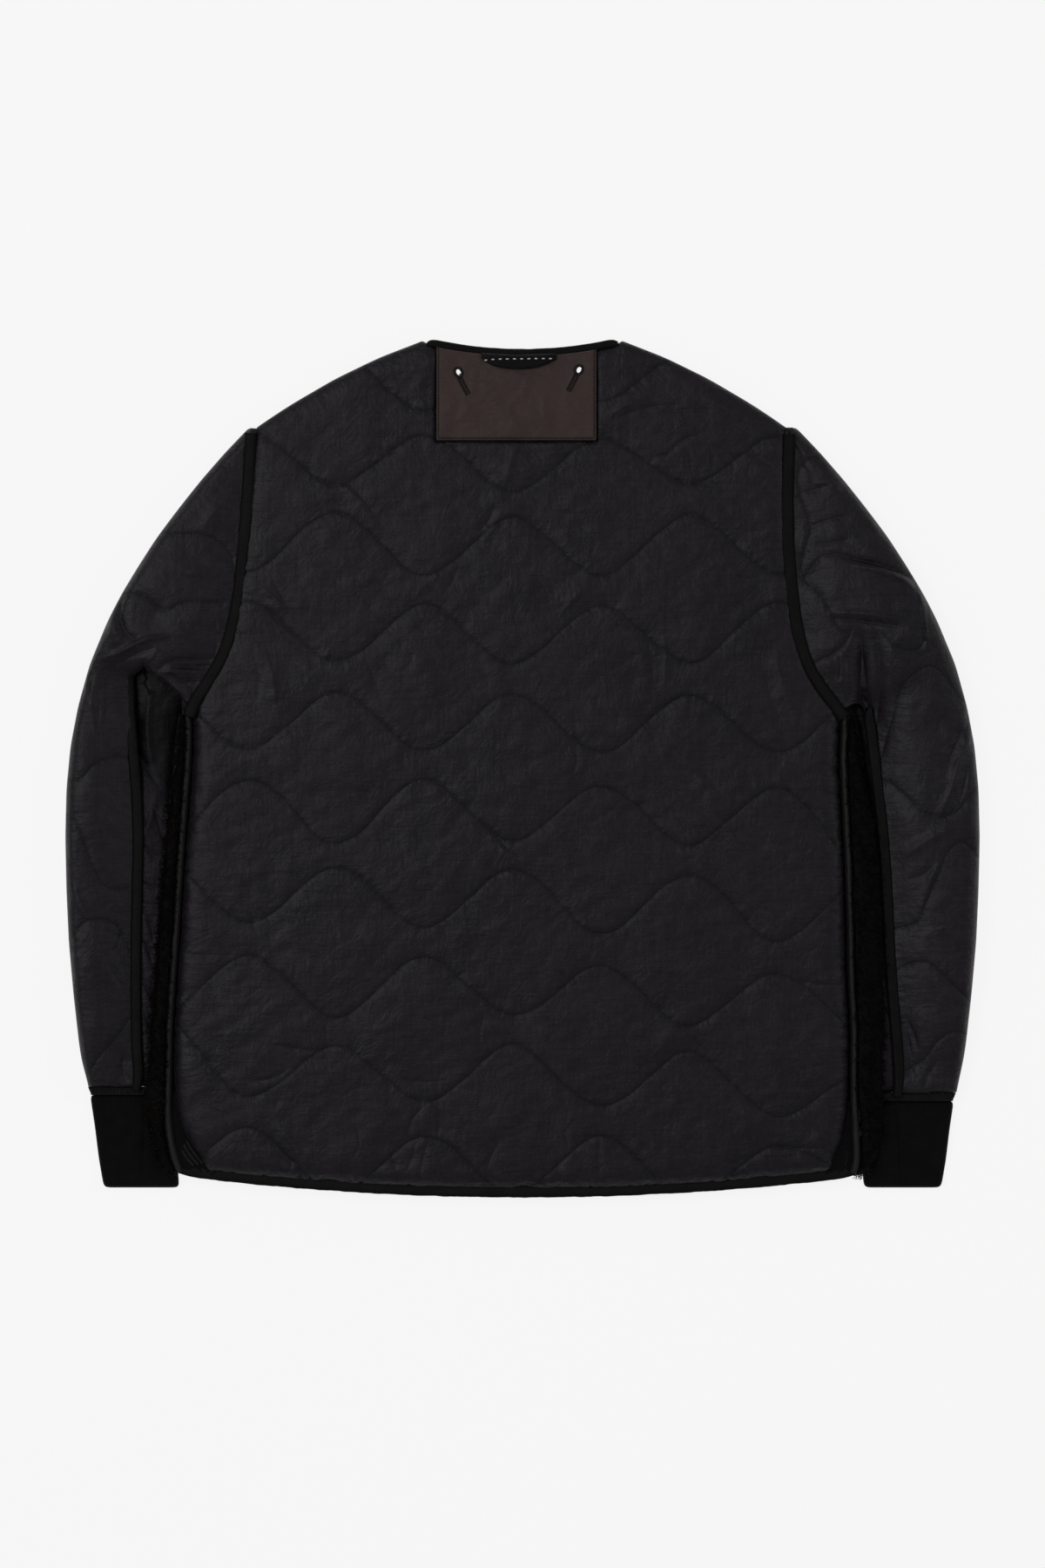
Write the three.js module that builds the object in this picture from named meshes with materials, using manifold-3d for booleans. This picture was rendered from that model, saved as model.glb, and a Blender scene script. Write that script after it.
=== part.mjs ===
// A jacket of quilted nylon and shearling, laid out flat on its fronts with its back up.
// Millimetres, +Z up, +Y towards the neck, -X towards the wearer's left sleeve.
// The origin is under the middle of the outline, on the surface that the jacket lies on.
//
// The fronts lie on the surface and the back lies on them. Each is a wall of quilted nylon with
// its shearling. Each sleeve is a flattened tube of two pieces, sewn together along a bound seam,
// and it overhangs the seam in a fold at the underarm. Bindings, patch and loop lie on the panels.
import * as THREE from "three";
import { mergeVertices } from "three/addons/utils/BufferGeometryUtils.js";
import Module from "manifold-3d";

const wasm = await Module();
wasm.setup();

// ---- Sizes of the whole -------------------------------------------------------------------

const SEAM_GAP = 0.3; // between two pieces that are sewn together
const WALL = 12; // nylon, wadding and shearling, one on the other
const BODY_TOP = 2 * WALL; // the back lies on the fronts
const EDGE_TOP = WALL + 4; // the back's side and top edges, pressed thin in their seams
const SEAM_REACH = 7.5; // first step of a wall's grid beside its edge
const FLAT_REACH = 10; // how far a wall stays thin under a binding that lies on it
const EDGE_REACH = 15; // where a wall has its whole thickness

const HEM_LOW = -370; // the lowest point of the hem, at the middle
const HEM_RISE = 18; // how much higher the hem is at its ends
const HEM_HALF = 290;
const HEM_BINDING = 10;
const HEM_ENDS = { left: -289.4, right: 282.6 };

const NECK_HALF = 82;
const NECK_TOP = 370;
const NECK_SCOOP = 9.5; // depth of the back neckline
const FRONT_NECK_DROP = 98; // depth of the front neckline
const NECK_BINDING = 6;
const FRONT_BINDING = 8;
const SHOULDER_BULGE = 7; // how far the shoulder line stands above a straight one

const BINDING_THICK = 1.6;
const EDGE_BINDING_THICK = 4.6; // bindings that wrap the edge of a wall
const ARMHOLE_BINDING = 10.5;
const SLEEVE_BINDING = 9;
const SIDE_BINDING = 8.5;
const SIDE_BINDING_THICK = 6;

const PATCH = { left: -74, right: 63.5, bottom: 281.5, thick: 1.2 };
const LOOP = { left: -35, right: 29.5, bottom: 342, taper: 8, thick: 2.4 };
const EYELETS = [
  { x: -55, y: 340, lean: 27 },
  { x: 48.5, y: 342, lean: -27 },
];
const EYELET = { wide: 6, long: 8 };

// The edge of the back and of the fronts, from the rounded hem corner up the side seam, round
// the armhole and up to the shoulder, as x and y of the left edge and of the right edge.
const BODY_EDGE = [
  { part: "corner", left: [-271, -341], right: [265, -340] },
  { part: "corner", left: [-288, -319], right: [274.5, -322] },
  { part: "side", left: [-296.5, -296], right: [278.5, -299] },
  { part: "side", left: [-299.5, -266], right: [280, -268] },
  { part: "side", left: [-299, -225], right: [280.5, -227] },
  { part: "side", left: [-296, -180], right: [278, -181] },
  { part: "side", left: [-292.5, -130], right: [277, -130] },
  { part: "side", left: [-289.5, -80], right: [275.5, -80] },
  { part: "side", left: [-286, -33], right: [273, -33] },
  { part: "side", left: [-282.5, 10], right: [271, 9] },
  { part: "armhole", left: [-282.5, 52], right: [273, 50] },
  { part: "armhole", left: [-277, 67], right: [256, 67] },
  { part: "armhole", left: [-267, 83], right: [245.5, 84] },
  { part: "armhole", left: [-255.5, 104], right: [239, 104] },
  { part: "armhole", left: [-250.5, 131], right: [234, 131] },
  { part: "armhole", left: [-245, 163], right: [230.5, 163] },
  { part: "armhole", left: [-240, 197], right: [228, 197] },
  { part: "armhole", left: [-236.5, 232], right: [227, 232] },
  { part: "armhole", left: [-233, 266], right: [227, 266] },
  { part: "armhole", left: [-229, 293], right: [227, 293] },
];
const ARMHOLE_TOP = 20; // height of the cloth along the armhole seam

// Sections of a sleeve from shoulder to wrist. out and y are its outer edge, crown is its height
// in the middle. Its inner end follows the armhole, then the fold at the underarm, then the bound
// seam, as left and right give it.
const SLEEVE = [
  { at: "armhole", out: 236, y: 293, crown: 20 },
  { at: "armhole", out: 256, y: 272, crown: 22 },
  { at: "armhole", out: 276, y: 249, crown: 24 },
  { at: "armhole", out: 292, y: 229, crown: 25 },
  { at: "armhole", out: 305, y: 212, crown: 26 },
  { at: "armhole", out: 316, y: 197, crown: 27 },
  { at: "armhole", out: 325, y: 183, crown: 28 },
  { at: "armhole", out: 332, y: 172, crown: 29 },
  { at: "armhole", out: 338, y: 162, crown: 29 },
  { at: "armhole", out: 343.5, y: 153, crown: 30 },
  { at: "fold", out: 351, y: 139, crown: 30, left: [-295, 68], right: [279, 55] },
  { at: "fold", out: 358, y: 125, crown: 29, left: [-311, 80], right: [285, 59] },
  { at: "fold", out: 365, y: 108, crown: 28, left: [-326, 89], right: [291, 59] },
  { at: "seam", out: 373, y: 89, crown: 26, left: [-339.5, 79], right: [297, 52] },
  { at: "seam", out: 383, y: 53, crown: 25, left: [-339, 52], right: [300, 36] },
  { at: "seam", out: 389.5, y: 19, crown: 25, left: [-336, 17], right: [302.5, 14] },
  { at: "seam", out: 393, y: -18, crown: 26, left: [-332.5, -20], right: [306.5, -20] },
  { at: "seam", out: 394, y: -60, crown: 26, left: [-331, -60], right: [311, -60] },
  { at: "seam", out: 393, y: -106, crown: 25, left: [-332, -105], right: [314, -105] },
  { at: "seam", out: 391, y: -150, crown: 25, left: [-333, -150], right: [316, -150] },
  { at: "seam", out: 387, y: -195, crown: 24, left: [-333, -195], right: [319, -195] },
  { at: "seam", out: 382, y: -240, crown: 22, left: [-332.5, -239], right: [323, -240] },
  { at: "seam", out: 376.5, y: -272, crown: 18, left: [-330, -271], right: [325, -273] },
];
// Where the under sleeve folds over beside the body, a row for each of the sections from the
// first at the fold down to the wrist.
const UNDER_SLEEVE = [
  { left: [-286, 44], right: [276, 42] },
  { left: [-286, 35], right: [275, 35] },
  { left: [-286, 26], right: [275, 28] },
  { left: [-286, 16], right: [275, 19] },
  { left: [-286.5, 4], right: [275, 7] },
  { left: [-288, -14], right: [275.5, -12] },
  { left: [-289, -35], right: [276, -33] },
  { left: [-291, -66], right: [277, -64] },
  { left: [-294, -108], right: [278.5, -107] },
  { left: [-296.5, -152], right: [280, -151] },
  { left: [-299.5, -196], right: [281.5, -196] },
  { left: [-301.5, -240], right: [283.5, -240] },
  { left: [-302, -272], right: [285.5, -274] },
];
const FOLD_TOP = 25; // height of the fold that overhangs at the underarm
const SEAM_TOP = 14; // height of a sleeve along its bound seam
const UNDER_SLEEVE_TOP = 13.6;
const UNDER_SLEEVE_WALL = 6;
const SLIT = 1; // between the upper and the lower wall of a flattened tube
const SLEEVE_RISE = 30; // how far from its inner end a sleeve has its whole height

// The side seam's binding and the shearling beside it, from the underarm to the hem. left and
// right are the middle of the binding, low is what it lies on. reach is how far the shearling
// stands out beyond the binding on each side, and furLow is what that lies on.
const SIDE_SEAM = [
  { y: 46, left: -287.2, right: 277.6, low: 14.6, reach: { left: 1.5, right: 2.5 }, furLow: 14.6 },
  { y: 10, left: -287.2, right: 275.7, low: 14.6, reach: { left: 5, right: 9 }, furLow: 14.6 },
  { y: -33, left: -290.7, right: 277.7, low: 14.6, reach: { left: 9, right: 17 }, furLow: 14.6 },
  { y: -80, left: -294.2, right: 280.2, low: 14.6, reach: { left: 10, right: 22 }, furLow: 14.6 },
  { y: -130, left: -297.2, right: 281.7, low: 14.6, reach: { left: 11, right: 23 }, furLow: 14.6 },
  { y: -180, left: -300.7, right: 282.7, low: 14.6, reach: { left: 11, right: 23 }, furLow: 14.6 },
  { y: -225, left: -303.7, right: 285.2, low: 14.6, reach: { left: 12, right: 21 }, furLow: 14.6 },
  { y: -266, left: -304.2, right: 284.7, low: 14.6, reach: { left: 14, right: 20 }, furLow: 14.6 },
  { y: -285, left: -304.8, right: 285, low: 14.4, reach: { left: 14, right: 20 }, furLow: 14.4 },
  { y: -303, left: -304.6, right: 285.6, low: 10.2, reach: { left: 13, right: 20 }, furLow: 8.6 },
  { y: -320, left: -302.6, right: 286.4, low: 9.4, reach: { left: 11, right: 18 }, furLow: 8.6 },
  { y: -336, left: -299, right: 287, low: 9, reach: { left: 8, right: 14 }, furLow: 8.6 },
  { y: -346, left: -294, right: 287.5, low: 9, reach: { left: 3, right: 7 }, furLow: 8.6 },
];
const SHEARLING_THICK = 9;
const CORNER_FROM = { left: -282, right: -290 }; // where the knitted hem corner begins

// The gathered band and the knitted cuff below it: their outer and inner edge at each end.
const BAND = { top: 13, wall: 6 };
const CUFF = { top: 8, wall: 3.5 };
const WRIST = {
  left: { band: [-273, -281.2], cuff: [-281.5, -360.5], outer: [-372, -356.5], inner: [-302.5, -296] },
  right: { band: [-275, -283.7], cuff: [-284, -360], outer: [371, 356.5], inner: [287.5, 294.5] },
};

// ---- Lines and grids in plan ----------------------------------------------------------------

const SIDES = ["left", "right"];
const mix = THREE.MathUtils.lerp;
const clamp = THREE.MathUtils.clamp;
const point = (x, y, z = 0) => new THREE.Vector3(x, y, z);
const outwards = (side) => (side === "left" ? -1 : 1);
const range = (count) => Array.from({ length: count }, (_, i) => i);

/** Values from one end to the other, both included, in equal steps. */
const spread = (from, to, steps) => range(steps + 1).map((i) => mix(from, to, i / steps));

/** The point of a line of straight lengths at a share of its length. */
function pointAlong(line, share) {
  const path = new THREE.CurvePath();
  for (let i = 0; i < line.length - 1; i++) path.add(new THREE.LineCurve3(line[i], line[i + 1]));
  return path.getPoint(share);
}

/** The point of a line of straight lengths at height y, for a line that runs up or down. */
function pointAtY(line, y) {
  for (let i = 0; i < line.length - 1; i++) {
    const [a, b] = [line[i], line[i + 1]];
    if ((a.y - y) * (b.y - y) <= 0) return a.clone().lerp(b, (y - a.y) / (b.y - a.y));
  }
  throw new Error(`no point of the line lies at ${y}`);
}

/** A line moved sideways to the left of the way it runs, with mitred corners. */
function shifted(line, distance) {
  const distanceAt = (i) => (Array.isArray(distance) ? distance[i] : distance);
  return line.map((p, i) => {
    const before = i > 0 ? p.clone().sub(line[i - 1]).setZ(0).normalize() : null;
    const after = i < line.length - 1 ? line[i + 1].clone().sub(p).setZ(0).normalize() : null;
    const along = (before ?? after).clone().add(after ?? before).normalize();
    const mitre = along.dot(before ?? after);
    return point(p.x - (along.y * distanceAt(i)) / mitre, p.y + (along.x * distanceAt(i)) / mitre, p.z);
  });
}

/** A point of the patch between four edges. bottom and top run with u, left and right with v. */
function patchPoint({ bottom, top, left, right }, u, v) {
  const across = left(v).multiplyScalar(1 - u).add(right(v).multiplyScalar(u));
  const along = bottom(u).multiplyScalar(1 - v).add(top(u).multiplyScalar(v));
  const low = bottom(0).lerp(bottom(1), u);
  const high = top(0).lerp(top(1), u);
  return across.add(along).sub(low.lerp(high, v));
}

/** The point of a grid's row at x, for a row that runs across. */
function pointAtX(row, x) {
  const next = clamp(row.findIndex((p) => p.x > x), 1, row.length - 1);
  const [a, b] = [row[next - 1], row[next]];
  return a.clone().lerp(b, (x - a.x) / (b.x - a.x));
}

/** The length of a line between two of its points. */
function lengthBetween(line, from, to) {
  let sum = 0;
  for (let i = Math.min(from, to); i < Math.max(from, to); i++) sum += line[i].distanceTo(line[i + 1]);
  return sum;
}

// ---- Solids ---------------------------------------------------------------------------------

/** Six times the volume inside a set of triangles, negative when they face inwards. */
function signedVolume(points, index) {
  let sum = 0;
  for (let i = 0; i < index.length; i += 3) {
    const [a, b, c] = [points[index[i]], points[index[i + 1]], points[index[i + 2]]];
    sum += a.dot(b.clone().cross(c));
  }
  return sum;
}

/** A closed cloth wall between two grids with the same rows and columns. A tube's columns close. */
function wallGeometry(outer, inner, tube = false) {
  const [rows, columns] = [outer.length, outer[0].length];
  const spans = tube ? columns : columns - 1;
  const points = [...outer.flat(), ...inner.flat()];
  const index = [];
  const quad = (a, b, c, d) => index.push(a, b, c, a, c, d);
  const near = (i, j) => i * columns + (j % columns);
  const far = (i, j) => rows * columns + near(i, j);
  for (let j = 0; j < spans; j++) {
    for (let i = 0; i < rows - 1; i++) {
      quad(near(i, j), near(i + 1, j), near(i + 1, j + 1), near(i, j + 1));
      quad(far(i, j), far(i, j + 1), far(i + 1, j + 1), far(i + 1, j));
    }
    quad(near(0, j), near(0, j + 1), far(0, j + 1), far(0, j));
    quad(near(rows - 1, j + 1), near(rows - 1, j), far(rows - 1, j), far(rows - 1, j + 1));
  }
  for (let i = 0; !tube && i < rows - 1; i++) {
    quad(near(i + 1, 0), near(i, 0), far(i, 0), far(i + 1, 0));
    quad(near(i, columns - 1), near(i + 1, columns - 1), far(i + 1, columns - 1), far(i, columns - 1));
  }
  if (signedVolume(points, index) < 0) index.reverse();
  const geometry = new THREE.BufferGeometry().setFromPoints(points);
  geometry.setIndex(index);
  geometry.computeVertexNormals();
  return geometry;
}

/** A strip along a plan line with a domed section, from the height low to thick above it. */
function stripGeometry(line, width, low, thick) {
  const lowAt = (i) => (Array.isArray(low) ? low[i] : low);
  const across = [-1, -0.6, 0.6, 1];
  const lines = across.map((share) => shifted(line, (share * width) / 2));
  const dome = (share) => 0.55 + 0.45 * Math.sqrt(1 - share ** 2);
  const level = (height) => line.map((_, i) => across.map((s, k) => lines[k][i].clone().setZ(height(i, s))));
  return wallGeometry(
    level((i, share) => lowAt(i) + thick * dome(share)),
    level((i) => lowAt(i)),
  );
}

/** A grid of points moved out along Z by a gap and a thickness, as a wall that lies on them. */
function layerGeometry(grid, thick) {
  const raised = (rise) => grid.map((row) => row.map((p) => point(p.x, p.y, p.z + rise)));
  return wallGeometry(raised(SEAM_GAP + thick), raised(SEAM_GAP));
}

/** A geometry as a manifold-3d solid. */
function solidOf(geometry) {
  const bare = new THREE.BufferGeometry();
  bare.setAttribute("position", geometry.getAttribute("position").clone());
  if (geometry.index) bare.setIndex(geometry.index);
  const merged = mergeVertices(bare, 1e-4);
  const vertProperties = new Float32Array(merged.attributes.position.array);
  const triVerts = new Uint32Array(merged.index.array);
  return new wasm.Manifold(new wasm.Mesh({ numProp: 3, vertProperties, triVerts }));
}

/** A manifold-3d solid as a geometry. */
function geometryOf(solid) {
  const mesh = solid.getMesh();
  const geometry = new THREE.BufferGeometry();
  geometry.setAttribute("position", new THREE.BufferAttribute(new Float32Array(mesh.vertProperties), 3));
  geometry.setIndex(new THREE.BufferAttribute(new Uint32Array(mesh.triVerts), 1));
  geometry.computeVertexNormals();
  return geometry;
}

/** A leaning eyelet as a prism through every layer. */
function eyeletSolid({ x, y, lean }) {
  const outline = new THREE.Shape().absellipse(0, 0, EYELET.wide / 2, EYELET.long / 2, 0, 2 * Math.PI);
  const depth = 3 * BODY_TOP;
  const prism = new THREE.ExtrudeGeometry(outline, { depth, bevelEnabled: false, curveSegments: 6 });
  prism.rotateZ(THREE.MathUtils.degToRad(lean));
  prism.translate(x, y, -BODY_TOP);
  return solidOf(prism);
}

/** A geometry with both eyelets cut through it. */
function withEyelets(geometry) {
  const cut = EYELETS.reduce((cloth, eyelet) => cloth.subtract(eyeletSolid(eyelet)), solidOf(geometry));
  return geometryOf(cut);
}

// ---- The outline of the body ----------------------------------------------------------------

const bodyLine = Object.fromEntries(SIDES.map((side) => [side, BODY_EDGE.map((row) => point(...row[side]))]));
const edgeSpans = BODY_EDGE.length - 1;
const underarmSpan = BODY_EDGE.findIndex((row) => row.part === "armhole");

/** The side edge of the body at a share of its spans, 0 at the hem and 1 at the shoulder. */
function edgePoint(side, v) {
  const span = Math.min(Math.floor(v * edgeSpans), edgeSpans - 1);
  return bodyLine[side][span].clone().lerp(bodyLine[side][span + 1], v * edgeSpans - span);
}

const hemY = (x) => HEM_LOW + HEM_RISE * (x / HEM_HALF) ** 2;
const backNeckY = (x) => NECK_TOP - NECK_SCOOP * (1 - (x / NECK_HALF) ** 2);

/** The hem edge of the quilted cloth at x: along the binding, and up to the rounded corner. */
function quiltHem(x) {
  const end = edgePoint(x < 0 ? "left" : "right", 0);
  const corner = clamp((Math.abs(x) - Math.abs(end.x) + 40) / 40, 0, 1);
  const straight = hemY(x) + HEM_BINDING;
  return point(x, mix(straight, Math.max(end.y, straight), corner ** 2.2));
}

/** The shoulder line at x, between the neck and the armhole. */
function shoulder(x) {
  const tip = edgePoint(x < 0 ? "left" : "right", 1);
  const share = clamp((Math.abs(x) - NECK_HALF) / (Math.abs(tip.x) - NECK_HALF), 0, 1);
  return point(x, mix(NECK_TOP - 1, tip.y, share) + SHOULDER_BULGE * 4 * share * (1 - share));
}

/** The top edge of the quilted back at x: the shoulders, and the neckline less its binding. */
function backTopEdge(x) {
  if (Math.abs(x) > NECK_HALF + 1) return shoulder(x);
  return point(x, backNeckY(x) - NECK_BINDING - SEAM_GAP);
}

// ---- The back, its patch and its loop ---------------------------------------------------------

const [shoulderLeft, shoulderRight] = SIDES.map((side) => edgePoint(side, 1).x);
const bodyLength = NECK_TOP - HEM_LOW;

/** Places across the top edge of the back where its grid has a column. */
const backStations = [
  ...[0, SEAM_REACH, EDGE_REACH].map((d) => shoulderLeft + d),
  ...spread(shoulderLeft + 2 * EDGE_REACH, -NECK_HALF - 4, 3),
  -NECK_HALF - 0.8,
  ...spread(PATCH.left, LOOP.left, 2),
  ...spread(LOOP.left, LOOP.right, 3).slice(1),
  ...spread(LOOP.right, PATCH.right, 2).slice(1),
  NECK_HALF + 0.8,
  ...spread(NECK_HALF + 4, shoulderRight - 2 * EDGE_REACH, 3),
  ...[EDGE_REACH, SEAM_REACH, 0].map((d) => shoulderRight - d),
];
const backRows = [
  ...[0, SEAM_REACH, EDGE_REACH].map((d) => d / bodyLength),
  ...spread(1 / edgeSpans, 1 - 1 / edgeSpans, edgeSpans - 2),
  ...[EDGE_REACH, SEAM_REACH, 0].map((d) => 1 - d / bodyLength),
];

/** Height of a wall's upper face at a distance from an edge where it is as thin as atEdge. */
function bend(distance, atEdge) {
  return mix(atEdge, BODY_TOP, Math.sqrt(clamp(distance / EDGE_REACH, 0, 1)));
}

/** Height of the back's upper face beside the armhole, flat under the binding. */
function besideArmhole(distance) {
  return mix(ARMHOLE_TOP, BODY_TOP, clamp((distance - FLAT_REACH) / (EDGE_REACH - FLAT_REACH), 0, 1));
}

/** The back's upper face as a grid of points, row by row from the hem. */
function backGrid() {
  const edges = {
    bottom: (u) => quiltHem(mix(edgePoint("left", 0).x, edgePoint("right", 0).x, u)),
    top: (u) => backTopEdge(mix(shoulderLeft, shoulderRight, u)),
    left: (v) => edgePoint("left", v),
    right: (v) => edgePoint("right", v),
  };
  const columns = backStations.map((x) => (x - shoulderLeft) / (shoulderRight - shoulderLeft));
  const plan = backRows.map((v) => columns.map((u) => patchPoint(edges, u, v)));
  return plan.map((row, i) =>
    row.map((p, j) => {
      const column = plan.map((r) => r[j]);
      const fromSide = Math.min(lengthBetween(row, 0, j), lengthBetween(row, j, row.length - 1));
      const armhole = backRows[i] * edgeSpans > underarmSpan - 0.1;
      const beside = armhole ? besideArmhole(fromSide) : bend(fromSide, EDGE_TOP);
      const fromTop = bend(lengthBetween(column, i, plan.length - 1), EDGE_TOP);
      const fromHem = bend(lengthBetween(column, 0, i), EDGE_TOP + 1);
      return p.clone().setZ(Math.min(beside, fromTop, fromHem));
    }),
  );
}

const backUnder = WALL + SEAM_GAP / 2;
const back = backGrid();

function backGeometry() {
  return withEyelets(wallGeometry(back, back.map((row) => row.map((p) => p.clone().setZ(backUnder)))));
}

const patchStations = backStations.filter((x) => x >= PATCH.left && x <= PATCH.right);

/** The rows of the back that lie above y, at the stations of the patch, from y to the neck edge. */
function rowsAbove(y) {
  const start = patchStations.map((x) => point(x, y, BODY_TOP));
  const rows = back.filter((row) => pointAtX(row, 0).y > y + 1);
  return [start, ...rows.map((row) => patchStations.map((x) => pointAtX(row, x)))];
}

function patchGeometry() {
  return withEyelets(layerGeometry(rowsAbove(PATCH.bottom), PATCH.thick));
}

/** The hanger loop, a flat ribbon on the patch that is narrower at its lower edge. */
function loopGeometry() {
  const rows = rowsAbove(LOOP.bottom).slice(0, -1);
  const grid = rows.map((row, i) => {
    const taper = LOOP.taper * (1 - i / (rows.length - 1));
    const across = spread(LOOP.left + taper, LOOP.right - taper, 4);
    return across.map((x) => pointAtX(row, x)).map((p) => p.setZ(p.z + SEAM_GAP + PATCH.thick));
  });
  return layerGeometry(grid, LOOP.thick);
}

// ---- The fronts -------------------------------------------------------------------------------

/** The free edge of a front: down the neckline, down the middle and along the hem to the side. */
function frontEdge(side) {
  const out = outwards(side);
  const neck = spread(0.015, 0.46, 7).map((turn) =>
    point(out * NECK_HALF * Math.cos(turn * Math.PI), NECK_TOP - FRONT_NECK_DROP * Math.sin(turn * Math.PI)),
  );
  const middle = (out * SEAM_GAP) / 2;
  const hem = spread(middle, HEM_ENDS[side], 8).map((x) => point(x, hemY(x)));
  return [...neck, point(middle, NECK_TOP - FRONT_NECK_DROP), ...hem];
}

/** A front's binding runs all along its free edge. */
function frontBindingGeometry(side) {
  const line = shifted(frontEdge(side), (outwards(side) * FRONT_BINDING) / 2);
  return stripGeometry(line, FRONT_BINDING, 0, WALL - SEAM_GAP / 2);
}

function frontGeometry(side) {
  const inside = shifted(frontEdge(side), outwards(side) * (FRONT_BINDING + SEAM_GAP));
  const neckEnd = inside.findIndex((p) => Math.abs(p.x) < FRONT_BINDING + 2 * SEAM_GAP);
  const corner = inside[neckEnd];
  const shoulderEnd = edgePoint(side, 1).x;
  const shoulderLine = spread(shoulderEnd, inside[0].x, 3).map(shoulder).slice(0, -1);
  const topLine = [...shoulderLine, ...inside.slice(0, neckEnd + 1)];
  const hemFrom = edgePoint(side, 0).x;
  const edges = {
    bottom: (u) => quiltHem(mix(hemFrom, corner.x, u)),
    top: (u) => pointAlong(topLine, u),
    left: (v) => edgePoint(side, v),
    right: (v) => point(corner.x, mix(quiltHem(corner.x).y, corner.y, v)),
  };
  const lengths = topLine.map((_, i) => lengthBetween(topLine, 0, i));
  const columns = lengths.map((length) => length / lengths.at(-1));
  const plan = spread(0, 1, edgeSpans).map((v) => columns.map((u) => patchPoint(edges, u, v)));
  const level = (z) => plan.map((row) => row.map((p) => p.clone().setZ(z)));
  return wallGeometry(level(WALL - SEAM_GAP / 2), level(0));
}

// ---- The sleeves --------------------------------------------------------------------------------

/**
 * A wall folded over at one edge. Each section runs from its sewn end to the fold and back below,
 * with a slit between the upper and the lower wall. It rests flat on the surface.
 */
function foldedGeometry(sections, wall) {
  const outer = [];
  const inner = [];
  for (const { from, to, fromTop, crown } of sections) {
    const width = from.distanceTo(to);
    const scale = Math.min(1, width / (4 * EDGE_REACH));
    const near = [0, SEAM_REACH, EDGE_REACH].map((d) => (d * scale) / width);
    const middle = spread(near[2], 1 - near[2], 3).slice(1, -1);
    const shares = [...near, ...middle, 1 - near[2], 1 - near[1]];
    const top = (share) => {
      const up = clamp((share * width - FLAT_REACH) / SLEEVE_RISE, 0, 1);
      const down = clamp(((1 - share) * width) / (EDGE_REACH * scale), 0, 1);
      return mix(crown / 2, mix(fromTop, crown, Math.sqrt(up)), Math.sqrt(1 - (1 - down) ** 2));
    };
    const slitEnd = Math.max(1 - wall / width, 0.2);
    const slit = (share, step) => {
      const s = share * slitEnd;
      const centre = mix(fromTop, crown, clamp((s * width) / SLEEVE_RISE, 0, 1)) / 2;
      return from.clone().lerp(to, s).setZ(centre + (step * SLIT) / 2);
    };
    const bottom = (share) => from.clone().lerp(to, share).setZ(share > 1 - near[1] - 1e-6 ? crown / 8 : 0);
    outer.push([
      ...shares.map((s) => from.clone().lerp(to, s).setZ(top(s))),
      to.clone().setZ(crown / 2),
      ...shares.map(bottom).reverse(),
    ]);
    inner.push([...shares.map((s) => slit(s, 1)), slit(1, 0), ...shares.map((s) => slit(s, -1)).reverse()]);
  }
  return wallGeometry(outer, inner);
}

/** The line where a sleeve is sewn: round the armhole, along the fold and down the bound seam. */
function sleeveSeam(side) {
  const armhole = bodyLine[side].slice(underarmSpan).reverse();
  return [...armhole, ...SLEEVE.filter((row) => row[side]).map((row) => point(...row[side]))];
}

function sleeveTopGeometry(side) {
  const out = outwards(side);
  const ends = shifted(sleeveSeam(side), out * SEAM_GAP);
  const tops = { armhole: ARMHOLE_TOP, fold: FOLD_TOP, seam: SEAM_TOP };
  const sections = SLEEVE.map((row, i) => ({
    from: ends[i],
    to: point(out * row.out, row.y),
    fromTop: tops[row.at],
    crown: row.crown,
  }));
  return foldedGeometry(sections, WALL);
}

function sleeveUnderGeometry(side) {
  const seam = shifted(sleeveSeam(side), -outwards(side) * SEAM_GAP).slice(-UNDER_SLEEVE.length);
  const sections = UNDER_SLEEVE.map((row, i) => ({
    from: seam[i],
    to: point(...row[side]),
    fromTop: SEAM_TOP,
    crown: UNDER_SLEEVE_TOP,
  }));
  return foldedGeometry(sections, UNDER_SLEEVE_WALL);
}

/** A flattened tube between two ends, from an outer to an inner edge, resting on its lower side. */
function tubeGeometry(ends, top, wall) {
  const shares = [-1, -0.92, -0.6, 0, 0.6, 0.92, 1];
  const sharesBack = shares.slice(1, -1).reverse();
  const ring = (end, height) => {
    const half = (end.outer - end.inner) / 2;
    const at = (share, z) => point(end.inner + half * (1 + share * height.reach(half)), end.y, z);
    const upper = shares.map((s) => at(s, height.up(s)));
    return [...upper, ...sharesBack.map((s) => at(s, height.down(s)))];
  };
  const round = (share, power) => Math.sqrt(1 - Math.abs(share) ** power);
  const outside = {
    reach: () => 1,
    up: (s) => (top / 2) * (1 + round(s, 4)),
    down: (s) => (top / 2) * (1 - round(s, 12)),
  };
  const inside = {
    reach: (half) => 1 - wall / Math.abs(half),
    up: (s) => (top + SLIT * round(s, 4)) / 2,
    down: (s) => (top - SLIT * round(s, 12)) / 2,
  };
  return wallGeometry(ends.map((end) => ring(end, outside)), ends.map((end) => ring(end, inside)), true);
}

/** One stretch of the wrist, the band or the cuff, with its edges read from the wrist's slope. */
function wristGeometry(side, stretch, { top, wall }) {
  const wrist = WRIST[side];
  const slope = (edge, y) => mix(edge[0], edge[1], (y - wrist.cuff[0]) / (wrist.cuff[1] - wrist.cuff[0]));
  const [from, to] = wrist[stretch];
  const ends = spread(from, to, 3).map((y) => {
    return { y, outer: slope(wrist.outer, y), inner: slope(wrist.inner, y) };
  });
  return tubeGeometry(ends, top, wall);
}

// ---- Bindings, shearling and hem corners ----------------------------------------------------------

const sideLine = (side) => SIDE_SEAM.map((row) => point(row[side], row.y));

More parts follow.
